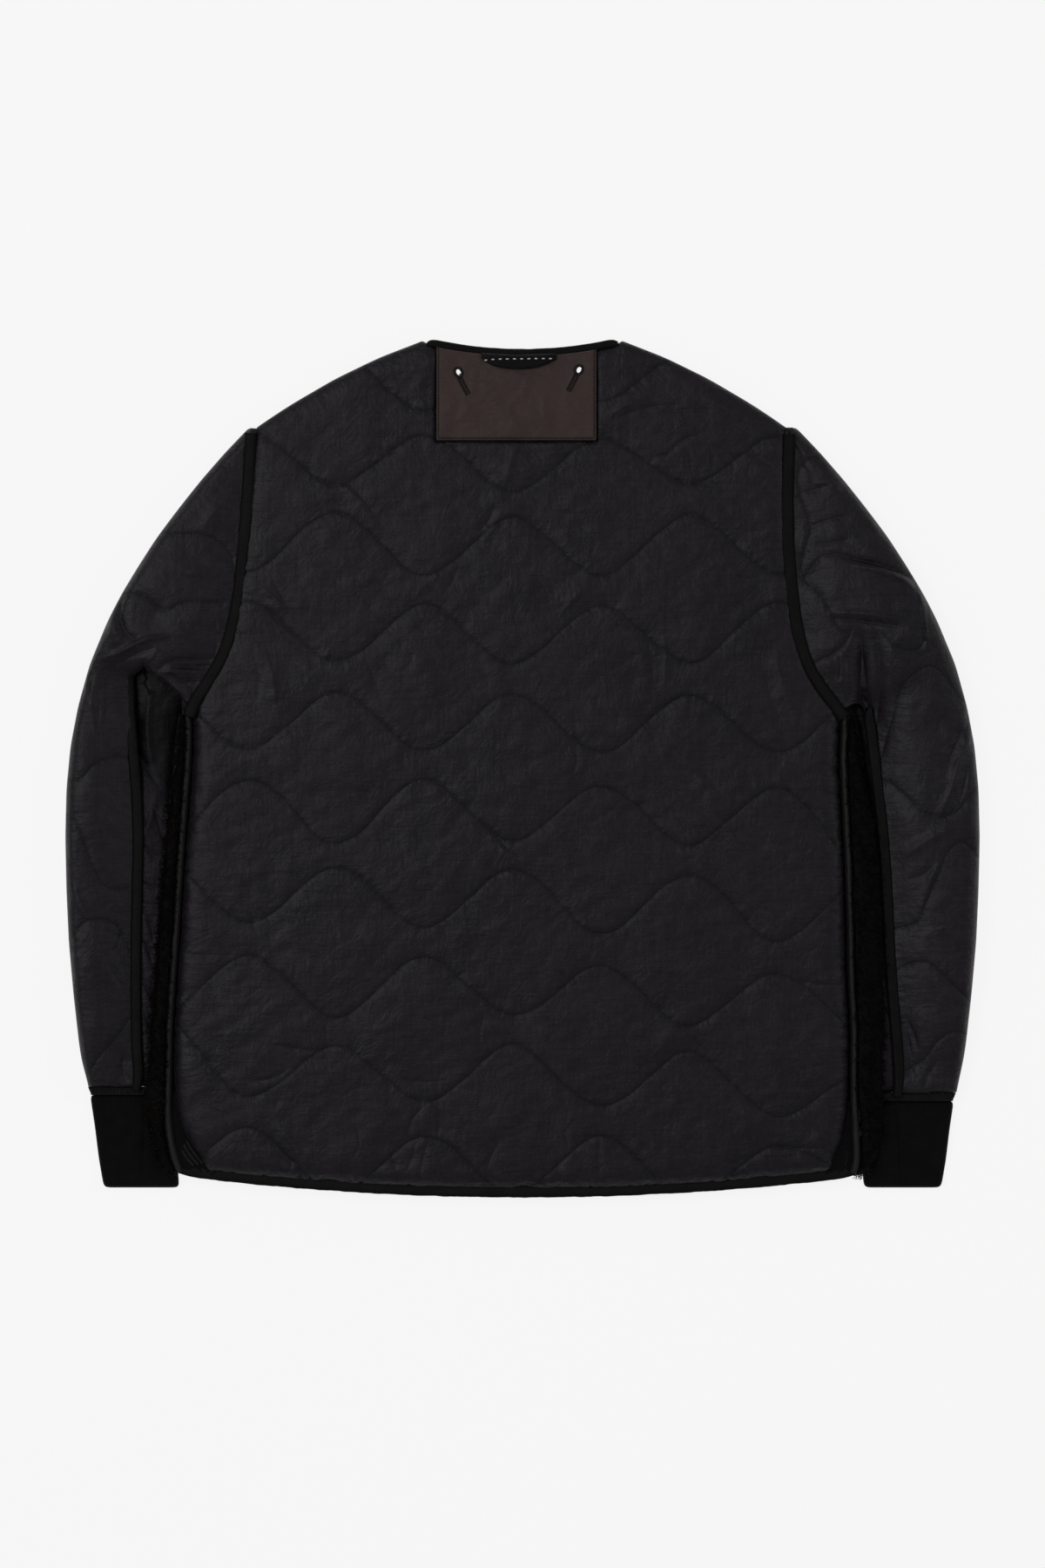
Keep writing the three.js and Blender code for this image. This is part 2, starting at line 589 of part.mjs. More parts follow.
function armholeBindingGeometry(side) {
  const line = bodyLine[side].slice(underarmSpan + 1);
  return stripGeometry(line, ARMHOLE_BINDING, ARMHOLE_TOP + SEAM_GAP, BINDING_THICK);
}

function sleeveBindingGeometry(side) {
  const line = SLEEVE.filter((row) => row.at === "seam").map((row) => point(...row[side]));
  return stripGeometry(line, SLEEVE_BINDING, SEAM_TOP + SEAM_GAP, BINDING_THICK);
}

function sideBindingGeometry(side) {
  return stripGeometry(sideLine(side), SIDE_BINDING, SIDE_SEAM.map((row) => row.low), SIDE_BINDING_THICK);
}

function hemBindingGeometry() {
  const width = HEM_BINDING - SEAM_GAP;
  const line = spread(HEM_ENDS.left, HEM_ENDS.right, 20).map((x) => point(x, hemY(x) + width / 2));
  return stripGeometry(line, width, backUnder, EDGE_BINDING_THICK);
}

function neckBindingGeometry() {
  const inside = backStations.filter((x) => Math.abs(x) < NECK_HALF);
  const line = [-NECK_HALF, ...inside, NECK_HALF].map((x) => point(x, backNeckY(x) - NECK_BINDING / 2));
  return stripGeometry(line, NECK_BINDING, backUnder, EDGE_BINDING_THICK);
}

/** The shearling that stands out of the side seam over the sleeve, as a plain solid of its reach. */
function shearlingGeometry(side) {
  const out = outwards(side);
  const base = SIDE_BINDING / 2 + SEAM_GAP;
  const profile = [
    { share: 0, rise: 0.75 },
    { share: 0.3, rise: 1 },
    { share: 0.7, rise: 0.85 },
    { share: 1, rise: 0.4 },
  ];
  const lines = profile.map(({ share }) =>
    shifted(sideLine(side), SIDE_SEAM.map((row) => out * (base + share * row.reach[side]))),
  );
  const heightAt = (row, rise) => row.furLow + rise * SHEARLING_THICK;
  const level = (rise) =>
    SIDE_SEAM.map((row, i) => profile.map((p, k) => lines[k][i].clone().setZ(heightAt(row, rise(p)))));
  return wallGeometry(level((p) => p.rise), level(() => 0));
}

/** The knitted corner between the rounded corner of the quilting and the side binding. */
function hemCornerGeometry(side) {
  const out = outwards(side);
  const clear = SIDE_BINDING / 2 + 2 * SEAM_GAP;
  const edgeHeights = BODY_EDGE.slice(0, 3).map((row) => row[side][1] + SEAM_GAP);
  const heights = [CORNER_FROM[side], ...edgeHeights.reverse()];
  const plan = heights.map((y) => {
    const quilt = pointAtY(bodyLine[side], y);
    const seam = pointAtY(sideLine(side), y);
    return [point(quilt.x + out * 2 * SEAM_GAP, y), point(seam.x - out * clear, y)];
  });
  const level = (z) => plan.map((row) => row.map((p) => p.clone().setZ(z)));
  return wallGeometry(level(EDGE_TOP), level(backUnder));
}

// ---- The jacket ---------------------------------------------------------------------------------

const nylon = { color: 0x202023, roughness: 0.62, metalness: 0 };
const binding = { color: 0x0e0e0f, roughness: 0.8, metalness: 0 };
const knit = { color: 0x0c0c0c, roughness: 0.95, metalness: 0 };
const suede = { color: 0x362c2a, roughness: 0.55, metalness: 0 };
const shearling = { color: 0x2b1a12, roughness: 0.95, metalness: 0 };

const jacket = new THREE.Group();

function sew(name, geometry, finish) {
  const mesh = new THREE.Mesh(geometry, new THREE.MeshStandardMaterial(finish));
  mesh.name = name;
  jacket.add(mesh);
}

sew("back_panel", backGeometry(), nylon);
sew("neck_patch", patchGeometry(), suede);
sew("hanger_loop", loopGeometry(), binding);
sew("neck_binding", neckBindingGeometry(), binding);
sew("hem_binding", hemBindingGeometry(), binding);
for (const side of SIDES) {
  sew(`front_${side}`, frontGeometry(side), nylon);
  sew(`front_binding_${side}`, frontBindingGeometry(side), binding);
  sew(`sleeve_top_${side}`, sleeveTopGeometry(side), nylon);
  sew(`sleeve_under_${side}`, sleeveUnderGeometry(side), nylon);
  sew(`sleeve_band_${side}`, wristGeometry(side, "band", BAND), nylon);
  sew(`cuff_${side}`, wristGeometry(side, "cuff", CUFF), knit);
  sew(`armhole_binding_${side}`, armholeBindingGeometry(side), binding);
  sew(`sleeve_binding_${side}`, sleeveBindingGeometry(side), binding);
  sew(`side_binding_${side}`, sideBindingGeometry(side), binding);
  sew(`hem_corner_${side}`, hemCornerGeometry(side), knit);
  sew(`shearling_${side}`, shearlingGeometry(side), shearling);
}

const outline = new THREE.Box3().setFromObject(jacket);
const middle = outline.getCenter(new THREE.Vector3());
jacket.position.set(-middle.x, -middle.y, -outline.min.z);

export default jacket;
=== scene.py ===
"""A quilted nylon and shearling jacket, laid out flat on its fronts with its back up."""

import math

import bmesh
import bpy
import numpy as np
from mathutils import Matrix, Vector
from mathutils.bvhtree import BVHTree
from mathutils.geometry import delaunay_2d_cdt
from mathutils.kdtree import KDTree


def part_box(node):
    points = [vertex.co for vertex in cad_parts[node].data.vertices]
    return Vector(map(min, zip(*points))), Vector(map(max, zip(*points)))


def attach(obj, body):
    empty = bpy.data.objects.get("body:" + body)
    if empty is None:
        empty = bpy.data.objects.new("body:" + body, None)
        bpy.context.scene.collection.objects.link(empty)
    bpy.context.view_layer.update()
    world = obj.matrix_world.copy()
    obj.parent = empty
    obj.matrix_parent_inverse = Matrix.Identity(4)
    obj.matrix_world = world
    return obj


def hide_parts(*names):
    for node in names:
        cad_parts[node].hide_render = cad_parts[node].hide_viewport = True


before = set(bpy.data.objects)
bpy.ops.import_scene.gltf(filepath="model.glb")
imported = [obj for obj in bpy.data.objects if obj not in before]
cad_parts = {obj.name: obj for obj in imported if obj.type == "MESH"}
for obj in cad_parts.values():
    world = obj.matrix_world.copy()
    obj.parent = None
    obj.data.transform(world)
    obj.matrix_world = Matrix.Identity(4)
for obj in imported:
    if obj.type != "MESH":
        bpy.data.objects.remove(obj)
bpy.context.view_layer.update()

MM = 0.001


# Camera, floor and light. The jacket lies on a plain pale floor, and the camera looks straight
# down on it through a long lens. The light is wide and soft, with its middle a little off the axis.
VIEW_HIGH = 1.35
VIEW_MIDDLE = Vector((0.0, -13.9 * MM, 15 * MM))
CAMERA_HEIGHT = 6.0
SENSOR = 36.0

scene = bpy.context.scene
scene.view_settings.view_transform = "Standard"

camera_data = bpy.data.cameras.new("camera")
camera_data.sensor_width = SENSOR
camera_data.lens = SENSOR * CAMERA_HEIGHT / VIEW_HIGH
camera_data.clip_end = 60
camera = bpy.data.objects.new("camera", camera_data)
camera.location = VIEW_MIDDLE + Vector((0, 0, CAMERA_HEIGHT))
scene.collection.objects.link(camera)
scene.camera = camera


def shader_node(tree, kind, inputs=(), **settings):
    """Add a shader node. Each input is a plain value, or the output that feeds it."""
    node = tree.nodes.new(kind)
    for key, value in settings.items():
        setattr(node, key, value)
    for key, value in dict(inputs).items():
        if isinstance(value, bpy.types.NodeSocket):
            tree.links.new(value, node.inputs[key])
        else:
            node.inputs[key].default_value = value
    return node


def new_finish(name):
    """A material with a bare surface shader, as the material, its node tree and that shader."""
    finish = bpy.data.materials.new(name)
    finish.use_nodes = True
    tree = finish.node_tree
    return finish, tree, tree.nodes["Principled BSDF"]


def link_piece(name, mesh):
    piece = bpy.data.objects.new(name, mesh)
    scene.collection.objects.link(piece)
    return piece


FLOOR_HALF = 9.0
FLOOR_DROP = 0.3 * MM
floor_mesh = bpy.data.meshes.new("floor")
floor_corners = [(-1, -1), (1, -1), (1, 1), (-1, 1)]
floor_places = [(x * FLOOR_HALF, y * FLOOR_HALF, -FLOOR_DROP) for x, y in floor_corners]
floor_mesh.from_pydata(floor_places, [], [(0, 1, 2, 3)])
floor = link_piece("floor", floor_mesh)
floor_finish, floor_tree, floor_shader = new_finish("pale_floor")
floor_shader.inputs["Base Color"].default_value = (0.15, 0.15, 0.15, 1)
floor_shader.inputs["Roughness"].default_value = 0.9
floor_shader.inputs["Specular IOR Level"].default_value = 0.1
floor_shader.inputs["Emission Color"].default_value = (1, 1, 1, 1)
floor_shader.inputs["Emission Strength"].default_value = 0.866
floor_mesh.materials.append(floor_finish)

world = bpy.data.worlds.new("studio")
world.use_nodes = True
world.node_tree.nodes["Background"].inputs["Color"].default_value = (0.93, 0.93, 0.93, 1)
world.node_tree.nodes["Background"].inputs["Strength"].default_value = 0.25
scene.world = world


def soft_light(name, place, size, watts, aim=(0, 0, 0)):
    """A square area light that faces a point."""
    data = bpy.data.lights.new(name, "AREA")
    data.size = size
    data.energy = watts
    light = bpy.data.objects.new(name, data)
    light.location = place
    light.rotation_euler = (Vector(aim) - Vector(place)).to_track_quat("-Z", "Y").to_euler()
    scene.collection.objects.link(light)


soft_light("main_softbox", (-1.5, 0.75, 2.9), 1.7, 19)
soft_light("side_softbox", (2.4, 0.6, 1.8), 1.2, 5.5)


# The back panel: black nylon, wadding and shearling in one wall, quilted through in waves that
# face each other row by row. It lies on the fronts and is sewn to them at the shoulders and sides.
NYLON = (0.0116, 0.0086, 0.0128)
NYLON_ROUGHNESS = 0.46
QUILT_COLUMNS = (-312, -236, -160, -84, -8, 68, 144, 220, 296)
QUILT_SWAY = 1.5
WAVE_ROUND = 0.62
STITCH_STEP = 2.3 * MM
STITCH_BESIDE = (0.9 * MM, 2.2 * MM, 4.4 * MM)
PUFF = 1.7 * MM


def joined_form(node):
    """A copy of a node's mesh with its loose triangles joined at their corners."""
    form = bmesh.new()
    form.from_mesh(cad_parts[node].data)
    bmesh.ops.remove_doubles(form, verts=form.verts, dist=1e-6)
    form.normal_update()
    form.verts.ensure_lookup_table()
    form.faces.ensure_lookup_table()
    return form


def lines_round(node):
    """The closed anticlockwise lines round what shows of a node from above, the longest first."""
    form = joined_form(node)
    tree = BVHTree.FromBMesh(form)
    up = Vector((0, 0, 1))
    shown = set()
    for face in form.faces:
        if face.normal.z > 0.02:
            if tree.ray_cast(face.calc_center_median() + up * 1e-5, up)[0] is None:
                shown.add(face.index)
    following = {}
    for edge in form.edges:
        sides = [face for face in edge.link_faces if face.index in shown]
        if len(sides) == 1:
            corner = next(loop for loop in sides[0].loops if loop.edge == edge)
            following[corner.vert.index] = corner.link_loop_next.vert.index
    lines = []
    while following:
        start, at = following.popitem()
        line = [start]
        while at != start:
            line.append(at)
            at = following.pop(at)
        lines.append(np.array([form.verts[i].co[:] for i in line]))
    form.free()
    lines.sort(key=lambda line: -np.linalg.norm(np.roll(line, -1, 0) - line, axis=1).sum())
    return lines


def even_line(line, step):
    """A line's points again at equal steps along it, both ends kept."""
    lengths = np.r_[0, np.cumsum(np.linalg.norm(np.diff(line, axis=0), axis=1))]
    count = max(2, int(round(lengths[-1] / step)) + 1)
    places = np.linspace(0, lengths[-1], count)
    return np.stack([np.interp(places, lengths, line[:, k]) for k in range(line.shape[1])], axis=1)


def eased(line, step, blur):
    """An open line at even steps, smoothed, with its ends held."""
    line = even_line(line, step)
    reach = min(int(3 * blur / step), len(line) - 2)
    if reach < 1:
        return line
    kernel = np.exp(-0.5 * (np.arange(-reach, reach + 1) * step / blur) ** 2)
    kernel /= kernel.sum()
    head = 2 * line[0] - line[1:reach + 1][::-1]
    tail = 2 * line[-1] - line[-reach - 1:-1][::-1]
    long = np.concatenate([head, line, tail])
    return np.stack([np.convolve(long[:, k], kernel, "valid") for k in range(line.shape[1])], axis=1)


def rounded_line(line, step, blur, corner=38):
    """A closed line eased into smooth curves between its true corners, with even steps."""
    before = line - np.roll(line, 1, 0)
    after = np.roll(line, -1, 0) - line
    turn = np.abs(np.arctan2(before[:, 0] * after[:, 1] - before[:, 1] * after[:, 0],
                             (before[:, :2] * after[:, :2]).sum(1)))
    corners = np.flatnonzero(turn > math.radians(corner))
    if len(corners) == 0:
        corners = np.array([0])
    parts = []
    for first, last in zip(corners, np.r_[corners[1:], corners[0] + len(line)]):
        parts.append(eased(line[np.arange(first, last + 1) % len(line)], step, blur)[:-1])
    return np.concatenate(parts)


def inside(points, line):
    """Which points lie inside a closed line, in plan."""
    found = np.zeros(len(points), bool)
    x, y = points[:, 0], points[:, 1]
    for (ax, ay), (bx, by) in zip(line[:, :2], np.roll(line, -1, 0)[:, :2]):
        if ay != by:
            crossed = (ay > y) != (by > y)
            found ^= crossed & (x < (bx - ax) * (y - ay) / (by - ay) + ax)
    return found


class Course:
    """A line or several, to ask how far off any place is and what is nearest on it."""

    def __init__(self, lines, step=0.8 * MM):
        lines = [even_line(np.asarray(line)[:, :2], step) for line in lines]
        self.points = np.concatenate(lines)
        self.along = np.concatenate([np.arange(len(line)) * step for line in lines])
        self.which = np.concatenate([np.full(len(line), k) for k, line in enumerate(lines)])
        self.share = np.concatenate([np.linspace(0, 1, len(line)) for line in lines])
        self.tree = KDTree(len(self.points))
        for i, (x, y) in enumerate(self.points):
            self.tree.insert((x, y, 0), i)
        self.tree.balance()

    def near(self, x, y):
        """How far off each place is, and the number of the nearest point."""
        found = [self.tree.find((u, v, 0)) for u, v in zip(x, y)]
        return np.array([f[2] for f in found]), np.array([f[1] for f in found], int)


def ring(line):
    return np.concatenate([line, line[:1]])


def inset(line, distance):
    """Points at a distance inside a closed anticlockwise line."""
    along = np.roll(line, -1, 0)[:, :2] - np.roll(line, 1, 0)[:, :2]
    along /= np.linalg.norm(along, axis=1)[:, None]
    moved = line[:, :2] + np.stack([-along[:, 1], along[:, 0]], axis=1) * distance
    clear, _ = Course([ring(line)]).near(moved[:, 0], moved[:, 1])
    return moved[(clear > 0.9 * distance) & inside(moved, line)]


def untangled(line, reach=14):
    """A closed line without the small loops where it crosses itself."""
    k = 0
    while k < len(line) - 3:
        a, b = line[k, :2], line[k + 1, :2]
        for j in range(min(k + reach, len(line) - 2), k + 1, -1):
            c, d = line[j, :2], line[j + 1, :2]
            sides = [(q[0] - p[0]) * (r[1] - p[1]) - (q[1] - p[1]) * (r[0] - p[0])
                     for p, q, r in ((a, b, c), (a, b, d), (c, d, a), (c, d, b))]
            if sides[0] * sides[1] < 0 and sides[2] * sides[3] < 0:
                line = np.delete(line, np.arange(k + 1, j + 1), 0)
                break
        k += 1
    return line


def met(line, *others, gap=5 * MM, overlap=0.5 * MM, share=0.5):
    """A closed line moved its share of the way over the gap to the pieces that it is sewn to."""
    around = Course([ring(other) for other in others])
    away, nearest = around.near(line[:, 0], line[:, 1])
    towards = around.points[nearest] - line[:, :2]
    towards /= np.maximum(np.linalg.norm(towards, axis=1), 1e-6)[:, None]
    far = np.where(away < gap, away * share + overlap, 0)
    far = np.convolve(np.pad(far, 2, mode="wrap"), np.ones(5) / 5, "valid")
    moved = line.copy()
    moved[:, :2] += towards * far[:, None]
    return untangled(even_line(ring(moved), 2.2 * MM)[:-1])


def six_ways(low, high, step):
    """Points over a rectangle, each with six neighbours one step away."""
    rows = np.arange(low[1], high[1], step * math.sqrt(3) / 2)
    columns = np.arange(low[0], high[0], step)
    x, y = np.meshgrid(columns, rows)
    x = x + (np.arange(len(rows)) % 2)[:, None] * step / 2
    return np.stack([x.ravel(), y.ravel()], axis=1)


def soft_noise(x, y, size, seed, layers=1):
    """Smooth unevenness from -1 to 1 with lumps of about the given size."""
    total = np.zeros_like(x)
    share = 1.0
    for layer in range(layers):
        grid = np.random.default_rng(seed + 31 * layer).uniform(-1, 1, (199, 211))
        u = x / size + 1000.37
        v = y / size + 1000.71
        i, j = np.floor(u).astype(int), np.floor(v).astype(int)
        fu, fv = u - i, v - j
        fu, fv = fu * fu * (3 - 2 * fu), fv * fv * (3 - 2 * fv)
        a, b = grid[i % 199, j % 211], grid[(i + 1) % 199, j % 211]
        c, d = grid[i % 199, (j + 1) % 211], grid[(i + 1) % 199, (j + 1) % 211]
        total += share * ((a * (1 - fu) + b * fu) * (1 - fv) + (c * (1 - fu) + d * fu) * fv)
        size /= 2.1
        share /= 2
    return total


def wave_row(heights):
    """A wavy row of quilting through its turning heights, one in each column, in millimetres."""
    part = np.linspace(0, 1, 60, endpoint=False)
    bend = np.arcsin(WAVE_ROUND * np.cos(np.pi * part)) / np.arcsin(WAVE_ROUND)
    line = []
    for k in range(len(heights) - 1):
        x = QUILT_COLUMNS[k] + (QUILT_COLUMNS[k + 1] - QUILT_COLUMNS[k]) * part
        y = (heights[k] + heights[k + 1]) / 2 + (heights[k] - heights[k + 1]) / 2 * bend
        line.append(np.stack([x, y], axis=1))
    line = np.concatenate(line)
    sway = [soft_noise(line[:, 0], line[:, 1], 38, seed, 2) for seed in (3, 4)]
    return (line + QUILT_SWAY * np.stack(sway, axis=1)) * MM


def laid_row(*places):
    """A row of stitching or a crease laid through a few given places, in millimetres."""
    return eased(np.array(places, float) * MM, 0.8 * MM, 3.2 * MM)


def plan_points(line, rows, fill, creases=(), near_edge=4.9 * MM):
    """Where a quilted piece needs mesh points inside its edge, in plan."""
    low, high = line[:, :2].min(0), line[:, :2].max(0)
    edge = Course([ring(line)])
    kept = [inset(line, 0.8 * MM), inset(line, 2.0 * MM), inset(line, 4.0 * MM)]
    loose = six_ways(low, high, fill)
    if rows or creases:
        rows = list(rows) + [crease[0] for crease in creases]
        on_rows = []
        for row in rows:
            stitched = even_line(row, STITCH_STEP)
            along = np.gradient(stitched, axis=0)
            along /= np.linalg.norm(along, axis=1)[:, None]
            across = np.stack([-along[:, 1], along[:, 0]], axis=1)
            on_rows.append(stitched)
            for beside in STITCH_BESIDE:
                on_rows += [stitched + across * beside, stitched - across * beside]
        on_rows = np.concatenate(on_rows)
        on_rows = on_rows[inside(on_rows, line)]
        kept.append(on_rows[edge.near(on_rows[:, 0], on_rows[:, 1])[0] > near_edge])
        loose = loose[inside(loose, line)]
        loose = loose[Course(rows).near(loose[:, 0], loose[:, 1])[0] > STITCH_BESIDE[-1] + 0.4 * fill]
    loose = loose[inside(loose, line)]
    kept.append(loose[edge.near(loose[:, 0], loose[:, 1])[0] > 4.0 * MM + 0.4 * fill])
    return np.concatenate(kept)


def plan_triangles(line, holes, points):
    """Triangles between a closed line, its holes and loose points. The lines' points come first."""
    rims = [line[:, :2]] + [hole[:, :2] for hole in holes]
    edges = []
    first = 0
    for rim in rims:
        edges += [(first + i, first + (i + 1) % len(rim)) for i in range(len(rim))]
        first += len(rim)
    every = np.concatenate([*rims, points])
    made = delaunay_2d_cdt([Vector(p) for p in every], edges, [], 0, 1e-7)
    places = np.array([p[:] for p in made[0]])
    triangles = np.array([f for f in made[2]])
    middles = places[triangles].mean(1)
    kept = inside(middles, line)
    for hole in holes:
        kept &= ~inside(middles, hole)
    source = np.array([min(origin) if origin else -1 for origin in made[3]])
    return places, triangles[kept], source, first


def closed_form(line, holes, upper, lower, upper_points, lower_points):
    """A closed form between two height rules, which share its edge line: its places and faces."""
    top, top_faces, top_from, rim = plan_triangles(line, holes, upper_points)
    under, under_faces, under_from, _ = plan_triangles(line, holes, lower_points)
    edge_height = np.concatenate([line[:, 2]] + [hole[:, 2] for hole in holes])
    top_z = upper(top[:, 0], top[:, 1])
    under_z = lower(under[:, 0], under[:, 1])
    on_rim = (top_from >= 0) & (top_from < rim)
    top_z[on_rim] = edge_height[top_from[on_rim]]
    rim_place = np.full(rim, -1)
    rim_place[top_from[on_rim]] = np.flatnonzero(on_rim)
    under_index = np.zeros(len(under), int)
    extra = []
    for i, origin in enumerate(under_from):
        if 0 <= origin < rim and rim_place[origin] >= 0:
            under_index[i] = rim_place[origin]
        else:
            under_index[i] = len(top) + len(extra)
            extra.append((under[i, 0], under[i, 1], under_z[i]))
    places = np.concatenate([np.column_stack([top, top_z]), np.array(extra).reshape(-1, 3)])
    return places, np.concatenate([top_faces, under_index[under_faces][:, ::-1]])


def form_mesh(name, *forms):
    """A smooth mesh from one closed form, or from one with others inside it, turned inwards."""
    places, faces = forms[0]
    for inner_places, inner_faces in forms[1:]:
        faces = np.concatenate([faces, inner_faces[:, ::-1] + len(places)])
        places = np.concatenate([places, inner_places])
    mesh = bpy.data.meshes.new(name)
    mesh.from_pydata(places.tolist(), [], faces.tolist())
    mesh.polygons.foreach_set("use_smooth", [True] * len(mesh.polygons))
    return mesh


def mesh_places(mesh):
    flat = np.empty(len(mesh.vertices) * 3)
    mesh.vertices.foreach_get("co", flat)
    return flat.reshape(-1, 3)


def add_vectors(mesh, name, columns):
    """Store a vector for each mesh point for the finish to read."""
    field = mesh.attributes.new(name, "FLOAT_VECTOR", "POINT")
    field.data.foreach_set("vector", np.column_stack(columns).astype(np.float32).ravel())


def mark_seams(mesh, quilting, edge, seed):
    """Tell the finish how far each point is along and away from the quilting and the edge."""
    places = mesh_places(mesh)
    x, y = places[:, 0], places[:, 1]
    away, nearest = quilting.near(x, y)
    add_vectors(mesh, "from_quilting", [quilting.along[nearest], away, quilting.which[nearest] * 7.3 + seed])
    away, nearest = edge.near(x, y)
    add_vectors(mesh, "from_edge", [edge.along[nearest], away, np.full_like(x, seed + 3.1)])


def math_node(tree, operation, first, second=0.0):
    return shader_node(tree, "ShaderNodeMath", {0: first, 1: second}, operation=operation).outputs[0]


def scaled_vector(tree, vector, by):
    return shader_node(tree, "ShaderNodeVectorMath", {0: vector, 1: by}, operation="MULTIPLY").outputs[0]


def noise_height(tree, vector, scale, tall, detail=3.0, roughness=0.55, distortion=0.0, ridged=False):
    """Bump height in metres from a noise, as soft lumps or as sharp ridges."""
    sizes = {"Vector": vector, "Scale": scale, "Detail": detail, "Roughness": roughness,
             "Distortion": distortion}
    level = shader_node(tree, "ShaderNodeTexNoise", sizes).outputs[0]
    level = math_node(tree, "SUBTRACT", level, 0.5)
    if ridged:
        level = math_node(tree, "MULTIPLY", math_node(tree, "ABSOLUTE", level), -2.0)
    return math_node(tree, "MULTIPLY", level, tall)


def streak_height(tree, field, across, along, tall, fade):
    """Bump height of short gathers that start at a seam and die away from it."""
    away = shader_node(tree, "ShaderNodeSeparateXYZ", {0: field}).outputs[1]
    lumps = noise_height(tree, scaled_vector(tree, field, (across, along, 1.0)), 1.0, tall, detail=2.0)
    left = math_node(tree, "EXPONENT", math_node(tree, "DIVIDE", away, -fade))
    return math_node(tree, "MULTIPLY", lumps, left)


def summed(tree, *heights):
    total = heights[0]
    for height in heights[1:]:
        total = math_node(tree, "ADD", total, height)
    return total


def field_node(tree, name):
    return shader_node(tree, "ShaderNodeAttribute", attribute_name=name).outputs["Vector"]


def raise_surface(tree, shader, height):
    bump = shader_node(tree, "ShaderNodeBump", {"Height": height, "Strength": 1.0, "Distance": 1.0})
    tree.links.new(bump.outputs[0], shader.inputs["Normal"])


def two_tones(tree, factor, dark, light, low=0.3, high=0.72):
    ramp = shader_node(tree, "ShaderNodeValToRGB", {0: factor})
    ramp.color_ramp.elements[0].position = low
    ramp.color_ramp.elements[0].color = (*dark, 1)
    ramp.color_ramp.elements[1].position = high
    ramp.color_ramp.elements[1].color = (*light, 1)
    return ramp.outputs[0]


def painted_crinkle_light(tree, vector, scale, at_line, width):
    """A share of the colour that changes to another along thin wandering lines: painted crinkle highlight where it
    rises above 1, painted crinkle shade where it falls below.
    """
    sizes = {"Vector": vector, "Scale": scale, "Detail": 4.0, "Roughness": 0.62, "Distortion": 0.9}
    level = shader_node(tree, "ShaderNodeTexNoise", sizes).outputs[0]
    away = math_node(tree, "ABSOLUTE", math_node(tree, "SUBTRACT", level, 0.5))
    limits = {0: away, 1: 0.0, 2: width, 3: at_line, 4: 1.0}
    return shader_node(tree, "ShaderNodeMapRange", limits).outputs[0]


